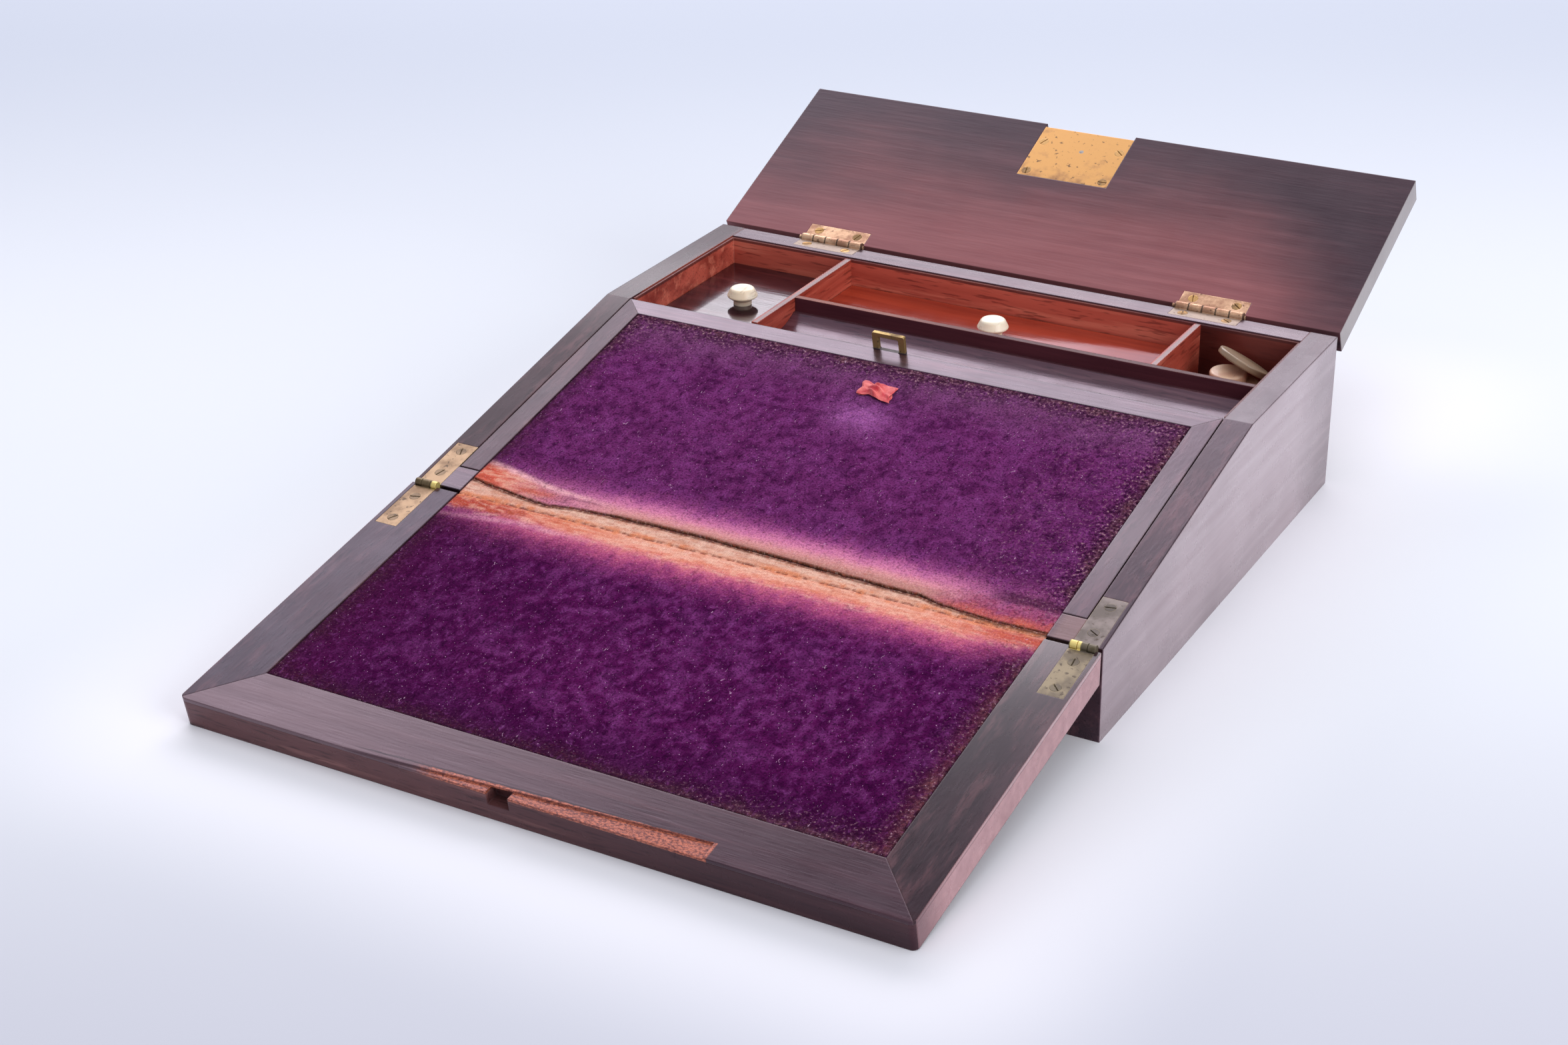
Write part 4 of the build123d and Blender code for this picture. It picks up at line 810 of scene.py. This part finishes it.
def velvet():
    """Silk velvet: short pile with a sheen, crushed in clouds, flecked with pale dust, and a woven ground
    where the pile has gone. Noise and threads are so many to the decimetre of cloth."""
    f = Finish("purple velvet", roughness=0.95)
    f.set("Specular IOR Level", 0.0)
    f.set("Sheen Weight", 0.12)
    f.set("Sheen Roughness", 0.4)
    f.set("Sheen Tint", tone(226, 110, 214))
    cloth = f.node("ShaderNodeUVMap", {"uv_map": "cloth"}, {})
    bare, scruff = f.attribute("bare"), f.attribute("scruff")
    pile = f.noise(cloth, 110.0, 3.0, 0.7)
    nap = f.noise(f.stretch(cloth, (1.0, 0.7, 1.0)), 40.0, 4.0, 0.65, 0.8)
    dust = f.noise(cloth, 120.0, 2.0, 0.5)
    lint = f.noise(f.stretch(cloth, (1.0, 0.45, 1.0)), 62.0, 2.0, 0.5, 1.5)
    wisps = f.noise(f.stretch(cloth, (0.4, 1.0, 1.0)), 105.0, 3.0, 0.7)
    clumps = f.noise(cloth, 64.0, 3.0, 0.65)
    threads = [f.node("ShaderNodeTexWave", {"wave_type": "BANDS", "bands_direction": way},
                      {"Vector": cloth, "Scale": 38.0, "Distortion": 1.5, "Detail": 1.0}) for way in "XY"]
    weave = threads[0] * threads[1]
    flecks = dust.rise(0.69, 0.75) * 0.7 + lint.rise(0.72, 0.755) * 0.5
    pile_share = 1 - bare * 0.8
    f.colour = f.attribute("pile_layers", "Color")
    f.lay(nap.rise(0.52, 0.75) * 0.5 * pile_share, (140, 70, 140))
    f.lay(nap.rise(0.48, 0.28) * 0.75 * pile_share, (34, 4, 34))
    f.lay(pile.rise(0.56, 0.34) * 0.7 * pile_share, (30, 6, 30))
    f.lay(bare * (1 - weave) * 0.14, (150, 92, 70))
    f.lay(bare * pile.rise(0.55, 0.75) * 0.5, (255, 226, 208))
    f.lay(bare * wisps.rise(0.47, 0.37) * 0.4, (178, 84, 62))
    f.lay(clumps.rise(0.5, 0.38) * scruff * 0.8, (24, 8, 22))
    f.lay(clumps.rise(0.54, 0.64) * scruff * 0.5, (128, 82, 112))
    f.lay(clumps.rise(0.57, 0.64) * dust.rise(0.42, 0.58) * scruff * 0.9, (176, 138, 140))
    f.lay(flecks * (1 - bare * 0.5), (216, 176, 204))
    return f.finished(pile * 0.8 + nap * 0.8 + weave * bare * 0.4, 0.5, 0.0006)


def cloth_sheet(name, upper, settings, material):
    """The upper or lower piece of velvet, cut apart by the slit. Its rows follow the slit at one side and the
    straight edge at the other, and lie closer near the slit. With n for noise of cells of that size,
        height = PILE_H + relief * (n(2.4) - 0.6) + 0.1 * (n(16) - 0.6)
                 + curl * bell(away, 2.2)               on the upper piece, away from the slit
                 - crease * bell(s - CREASE_S, 0.6)     on the lower piece
    and the outermost row and column at each edge turn down."""
    columns, slit_drop, end_drop, side_drop = 311, 0.9, 0.5, 0.4
    x = np.linspace(*CLOTH_X, columns)
    cut = line_at(SLIT, x) + (mottle(x, x * 0, 5, 6.0, 4) - 0.5) * 1.2
    gap = settings.slit_gap * MM * (0.7 + 0.9 * mottle(x, x * 0 + 40, 9, 14.0, 2))
    close_rows, last_row, far, way = (22, 134, CLOTH_TOP, 1) if upper else (30, 132, CLOTH_END, -1)
    near = cut + way * gap / 2
    rows = ([0, 0, 0.3], np.arange(0.7, close_rows, 0.5), np.arange(close_rows, last_row, 1.1))
    steps = np.concatenate(rows)
    share = np.append(steps / (steps[-1] + 1.0), [1.0, 1.0])
    gx, gt = np.meshgrid(x, share)
    gs = near * (1 - gt) + far * gt
    height = PILE_H + settings.relief * MM * (mottle(gx, gs, 3, 2.4, 3) - 0.6)
    height += 0.10 * (mottle(gx, gs, 8, 16.0, 2) - 0.6)
    if upper:
        height += settings.curl * MM * span(gx, 88, 236, 12) * bell(gs - near, 2.2)
    else:
        dip = bell(gs - CREASE_S, 0.6) * (0.6 + 0.8 * mottle(gx, gs * 0, 4, 3.0, 2))
        height -= settings.crease * MM * dip
    height[0] -= slit_drop
    height[-1] -= end_drop
    height[:, [0, -1]] -= side_drop
    points = on_slope(gx, gs, height)
    if not upper:
        points = np.where((gs < PIN_S)[..., None], on_flap(gx, gs, height), points)
    points, gx, gs = points[::way], gx[::way], gs[::way]
    piece = grid_mesh(name, points, np.stack([gx, gs], -1) / 100)
    pile_layers = WearAndLight(gx, gs, settings)
    for layers in (crush_pile, wear_above, wear_and_ridge_highlight_below, slit_shade_and_threads, margin_dust_and_shadow):
        layers(pile_layers)
    rgba = np.concatenate([pile_layers.colour, np.ones(gx.shape + (1,))], -1)
    for kind, form, key, values in (("pile_layers", "FLOAT_COLOR", "color", rgba),
                                    ("bare", "FLOAT", "value", pile_layers.bare),
                                    ("scruff", "FLOAT", "value", pile_layers.scruff)):
        held = piece.data.attributes.new(kind, form, "POINT")
        held.data.foreach_set(key, values.astype(np.float32).ravel())
    piece.data.materials.append(material)
    return piece


def ribbon_finish(bright):
    """Red silk ribbon, ribbed across, with painted highlights in soft orange-pink patches."""
    f = Finish("red ribbon", roughness=0.6)
    f.set("Sheen Weight", 0.15)
    cloth = f.node("ShaderNodeUVMap", {"uv_map": "cloth"}, {})
    ribs = f.node("ShaderNodeTexWave", {"wave_type": "BANDS", "bands_direction": "Y"},
                  {"Vector": cloth, "Scale": 70.0, "Distortion": 0.6})
    pale_share = f.noise(cloth, 22.0, 4.0, 0.6)
    f.colour = f.mix(pale_share.rise(0.35, 0.65), (216, 44, 62), bright)
    f.lay(ribs.rise(0.6, 0.2) * 0.35, (120, 16, 34))
    return f.finished(ribs + pale_share * 2, 0.4, 0.0003)


def fold_ribbon():
    """A strip folded twice on itself: its length runs right, back left and right again. Every layer lies on
    the one below, swells into two lobes with a pinch between them, and droops at its two edges:
        h = lift * layer * (1 + 1.5 * lobes) + 0.5 * lobes + pucker, with ahead the share of the reach and
        lobes = sin(pi * ahead)^0.6 * (0.75 + 0.45 * cos(2 * pi * (1.7 * ahead + 0.12)))."""
    width, length, reach, lift, left_end = 10.0, 48.0, 15.6, 0.42, 143.8
    t, w = np.meshgrid(np.linspace(0, 1, 170), np.linspace(-0.5, 0.5, 30), indexing="ij")
    leg = np.minimum((3 * t).astype(int), 2)
    part = 3 * t - leg
    ahead = np.where(leg % 2 == 0, part, 1 - part)
    layer = leg + rise(part, 0.85, 1.15) - rise(part, 0.15, -0.15)
    lobes = np.sin(np.pi * ahead) ** 0.6 * (0.75 + 0.45 * np.cos(2 * np.pi * (1.7 * ahead + 0.12)))
    pinch = 1 - 0.24 * bell(ahead - 0.33, 0.1)
    across = w * width * pinch * (0.94 + 0.06 * np.cos(19 * t))
    x = left_end + reach * ahead - 0.10 * across + 0.5 * np.sin(31 * t + 9 * w)
    s = RIBBON_S + across - 0.10 * (x - 151) + 0.7 * np.sin(5 * t)
    pucker = 0.5 * np.sin(17 * w + 24 * t) * lobes + 0.5 * (mottle(x, s + 60 * t, 6, 2.2, 3) - 0.5)
    h = 0.12 + lift * layer * (1 + 1.5 * lobes) + 0.5 * lobes + pucker * 0.5 * (layer + 0.4)
    h = np.clip(h * (1 - 0.55 * np.abs(2 * w) ** 3), 0.03, None)
    points = on_slope(x, s, h)
    return grid_mesh("ribbon", points[:, ::-1], np.stack([w * width, t * length], -1)[:, ::-1] / 100)


# ---------------- stage

def softbox(name, centre, target, width, height, radiance, colour=(1.0, 1.0, 1.0)):
    """A rectangular lamp at centre that faces target and that the camera does not see."""
    light = bpy.data.lights.new(name, "AREA")
    light.shape, light.size, light.size_y = "RECTANGLE", width, height
    light.energy = radiance * 4 * width * height
    light.color = colour
    lamp = bpy.data.objects.new(name, light)
    lamp.location = centre
    lamp.rotation_euler = (Vector(target) - Vector(centre)).to_track_quat("-Z", "Y").to_euler()
    lamp.visible_camera = False
    bpy.context.scene.collection.objects.link(lamp)


def studio():
    """A pale floor with painted shade, darker towards the front and far behind, and painted light close round
    the slope that softens its shadow; a low wide softbox behind, one at the right, a weak one overhead, a
    pale sky, and the camera."""
    half = 9.0
    f = Finish("pale floor", roughness=0.9)
    f.set("Specular IOR Level", 0.1)
    place = f.place()
    x, y = f.axes(place, 2)
    # Painted shade: the floor is darker towards the front and far behind.
    away = y * 0.87 - x * 0.49 + (f.noise(place, 1.6, 3.0) - 0.5) * 0.1
    near = f.mix(away.rise(-0.42, -0.05), (199, 200, 211), (229, 232, 238))
    sweep = f.mix(away.rise(0.1, 0.8), near, (193, 199, 211))
    # Painted light close round the slope, softening its shadow.
    beside = x.size().rise(0.25, 0.145) * (y + 0.024).size().rise(0.35, 0.24)
    f.set("Base Color", f.mix(beside * 0.72, sweep, (252, 250, 255)))
    mesh = bpy.data.meshes.new("floor")
    corners = [(-half, -half, 0), (half, -half, 0), (half, half, 0), (-half, half, 0)]
    mesh.from_pydata(corners, [], [(0, 1, 2, 3)])
    mesh.materials.append(f.material)
    floor = bpy.data.objects.new("floor", mesh)
    bpy.context.scene.collection.objects.link(floor)
    world = bpy.data.worlds.new("studio")
    world.use_nodes = True
    sky = world.node_tree.nodes["Background"].inputs
    sky["Color"].default_value = (0.86, 0.90, 1.0, 1.0)
    sky["Strength"].default_value = 0.5
    bpy.context.scene.world = world
    well, foot = (0, 0, 0.05), (0, 0, 0)
    softbox("back softbox", (-0.95, 1.65, 1.40), well, 2.8, 1.25, 3.0, (1.0, 0.955, 1.0))
    softbox("right softbox", (2.2, -0.6, 1.1), well, 1.6, 1.4, 3.3)
    softbox("overhead softbox", (0.3, -0.6, 2.4), foot, 2.0, 2.0, 1.0)
    lens = bpy.data.cameras.new("camera")
    lens.lens, lens.sensor_width = 60.86, 36.0
    camera = bpy.data.objects.new("camera", lens)
    camera.location = (0.4660, -0.9024, 0.5052)
    camera.rotation_euler = [math.radians(angle) for angle in (63.55, 0.75, 29.39)]
    bpy.context.scene.collection.objects.link(camera)
    bpy.context.scene.camera = camera
    bpy.context.scene.view_settings.view_transform = "Standard"


# ---------------- add-on

def size_setting(name, description, default, least, most):
    """A size that a user may change, in metres."""
    return bpy.props.FloatProperty(name=name, description=description, default=default,
                                   min=least, max=most, unit="LENGTH", subtype="DISTANCE")


def colour_setting(name, description, rgb):
    """A colour that a user may change."""
    return bpy.props.FloatVectorProperty(name=name, description=description, default=tone(*rgb),
                                         min=0.0, max=1.0, size=4, subtype="COLOR")


class WritingSlopeSettings(bpy.types.PropertyGroup):
    """What a user may change before the pieces are made"""
    slit_gap: size_setting("Slit gap", "How far the slit in the velvet stands open", 0.0006, 0.0002, 0.003)
    relief: size_setting("Pile relief", "How uneven the pile of the velvet is", 0.00022, 0.0, 0.0005)
    curl: size_setting("Curl", "How far the upper edge of the slit has lifted", 0.00035, 0.0, 0.0008)
    crease: size_setting("Crease depth", "How deep the velvet dips at the lower flap", 0.0004, 0.0, 0.001)
    faded_velvet: colour_setting("Faded velvet", "The colour of the pile above the slit", (106, 41, 96))
    deep_velvet: colour_setting("Deep velvet", "The colour of the pile below the slit", (84, 18, 74))
    ribbon: colour_setting("Ribbon", "The colour of the ribbon where it catches the light", (255, 124, 118))
    brass: colour_setting("Brass", "The colour of the lock plate where it is bright", (202, 152, 92))


def finish_nodes(table):
    """Gives each CAD node in the table its material, in place of what it came with."""
    for material, names in table.items():
        for name in names:
            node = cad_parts[name]
            node.data.materials.clear()
            node.data.materials.append(material)
            node.data.polygons.foreach_set("material_index", [0] * len(node.data.polygons))


class SLOPE_OT_woods(bpy.types.Operator):
    """Polish the rosewood and mahogany pieces"""
    bl_idname = "slope.woods"
    bl_label = "Finish woods"

    def execute(self, context):
        finish_nodes(outer_woods())
        finish_nodes(well_woods())
        return {"FINISHED"}


class SLOPE_OT_metals(bpy.types.Operator):
    """Finish the brass, steel and bone pieces"""
    bl_idname = "slope.metals"
    bl_label = "Finish metals and bone"

    def execute(self, context):
        finish_nodes(metals_and_bone(tuple(context.scene.writing_slope.brass)))
        return {"FINISHED"}


class SLOPE_OT_velvet(bpy.types.Operator):
    """Lay the two pieces of velvet on either side of the slit"""
    bl_idname = "slope.velvet"
    bl_label = "Lay velvet"

    def execute(self, context):
        settings = context.scene.writing_slope
        material = velvet()
        above = cloth_sheet("upper_velvet", True, settings, material)
        on_pile(RAIL_S)
        on_pile(RAIL_S + 2.2)
        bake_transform(above)
        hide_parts("upper_flap_velvet", "front_rail_velvet")
        below = cloth_sheet("lower_velvet", False, settings, material)
        on_pile(-0.2)
        on_pile(-2.8)
        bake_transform(below)
        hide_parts("lower_flap_velvet")
        return {"FINISHED"}


class SLOPE_OT_ribbon(bpy.types.Operator):
    """Fold the red ribbon that lifts the upper flap"""
    bl_idname = "slope.ribbon"
    bl_label = "Fold ribbon"

    def execute(self, context):
        piece = fold_ribbon()
        piece.data.materials.append(ribbon_finish(tuple(context.scene.writing_slope.ribbon)))
        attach(piece, "upper_flap")
        on_pile(RIBBON_S)
        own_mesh(piece)
        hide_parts("ribbon_pull")
        return {"FINISHED"}


class SLOPE_OT_stage(bpy.types.Operator):
    """Set the floor, the lamps and the camera"""
    bl_idname = "slope.stage"
    bl_label = "Set stage"

    def execute(self, context):
        studio()
        return {"FINISHED"}


OPERATORS = (SLOPE_OT_stage, SLOPE_OT_woods, SLOPE_OT_metals, SLOPE_OT_velvet, SLOPE_OT_ribbon)


class SLOPE_PT_panel(bpy.types.Panel):
    """Everything that this add-on makes, in the order in which it is made"""
    bl_label = "Writing slope"
    bl_idname = "SLOPE_PT_panel"
    bl_space_type = "VIEW_3D"
    bl_region_type = "UI"
    bl_category = "Writing slope"

    def draw(self, context):
        for name in WritingSlopeSettings.__annotations__:
            self.layout.prop(context.scene.writing_slope, name)
        for operator in OPERATORS:
            self.layout.operator(operator.bl_idname)


CLASSES = (WritingSlopeSettings, *OPERATORS, SLOPE_PT_panel)


def register():
    for cls in CLASSES:
        bpy.utils.register_class(cls)
    bpy.types.Scene.writing_slope = bpy.props.PointerProperty(type=WritingSlopeSettings)


def unregister():
    del bpy.types.Scene.writing_slope
    for cls in reversed(CLASSES):
        bpy.utils.unregister_class(cls)


def main():
    register()
    bpy.ops.slope.stage()
    bpy.ops.slope.woods()
    bpy.ops.slope.metals()
    bpy.ops.slope.velvet()
    bpy.ops.slope.ribbon()


if __name__ == "__main__":
    main()
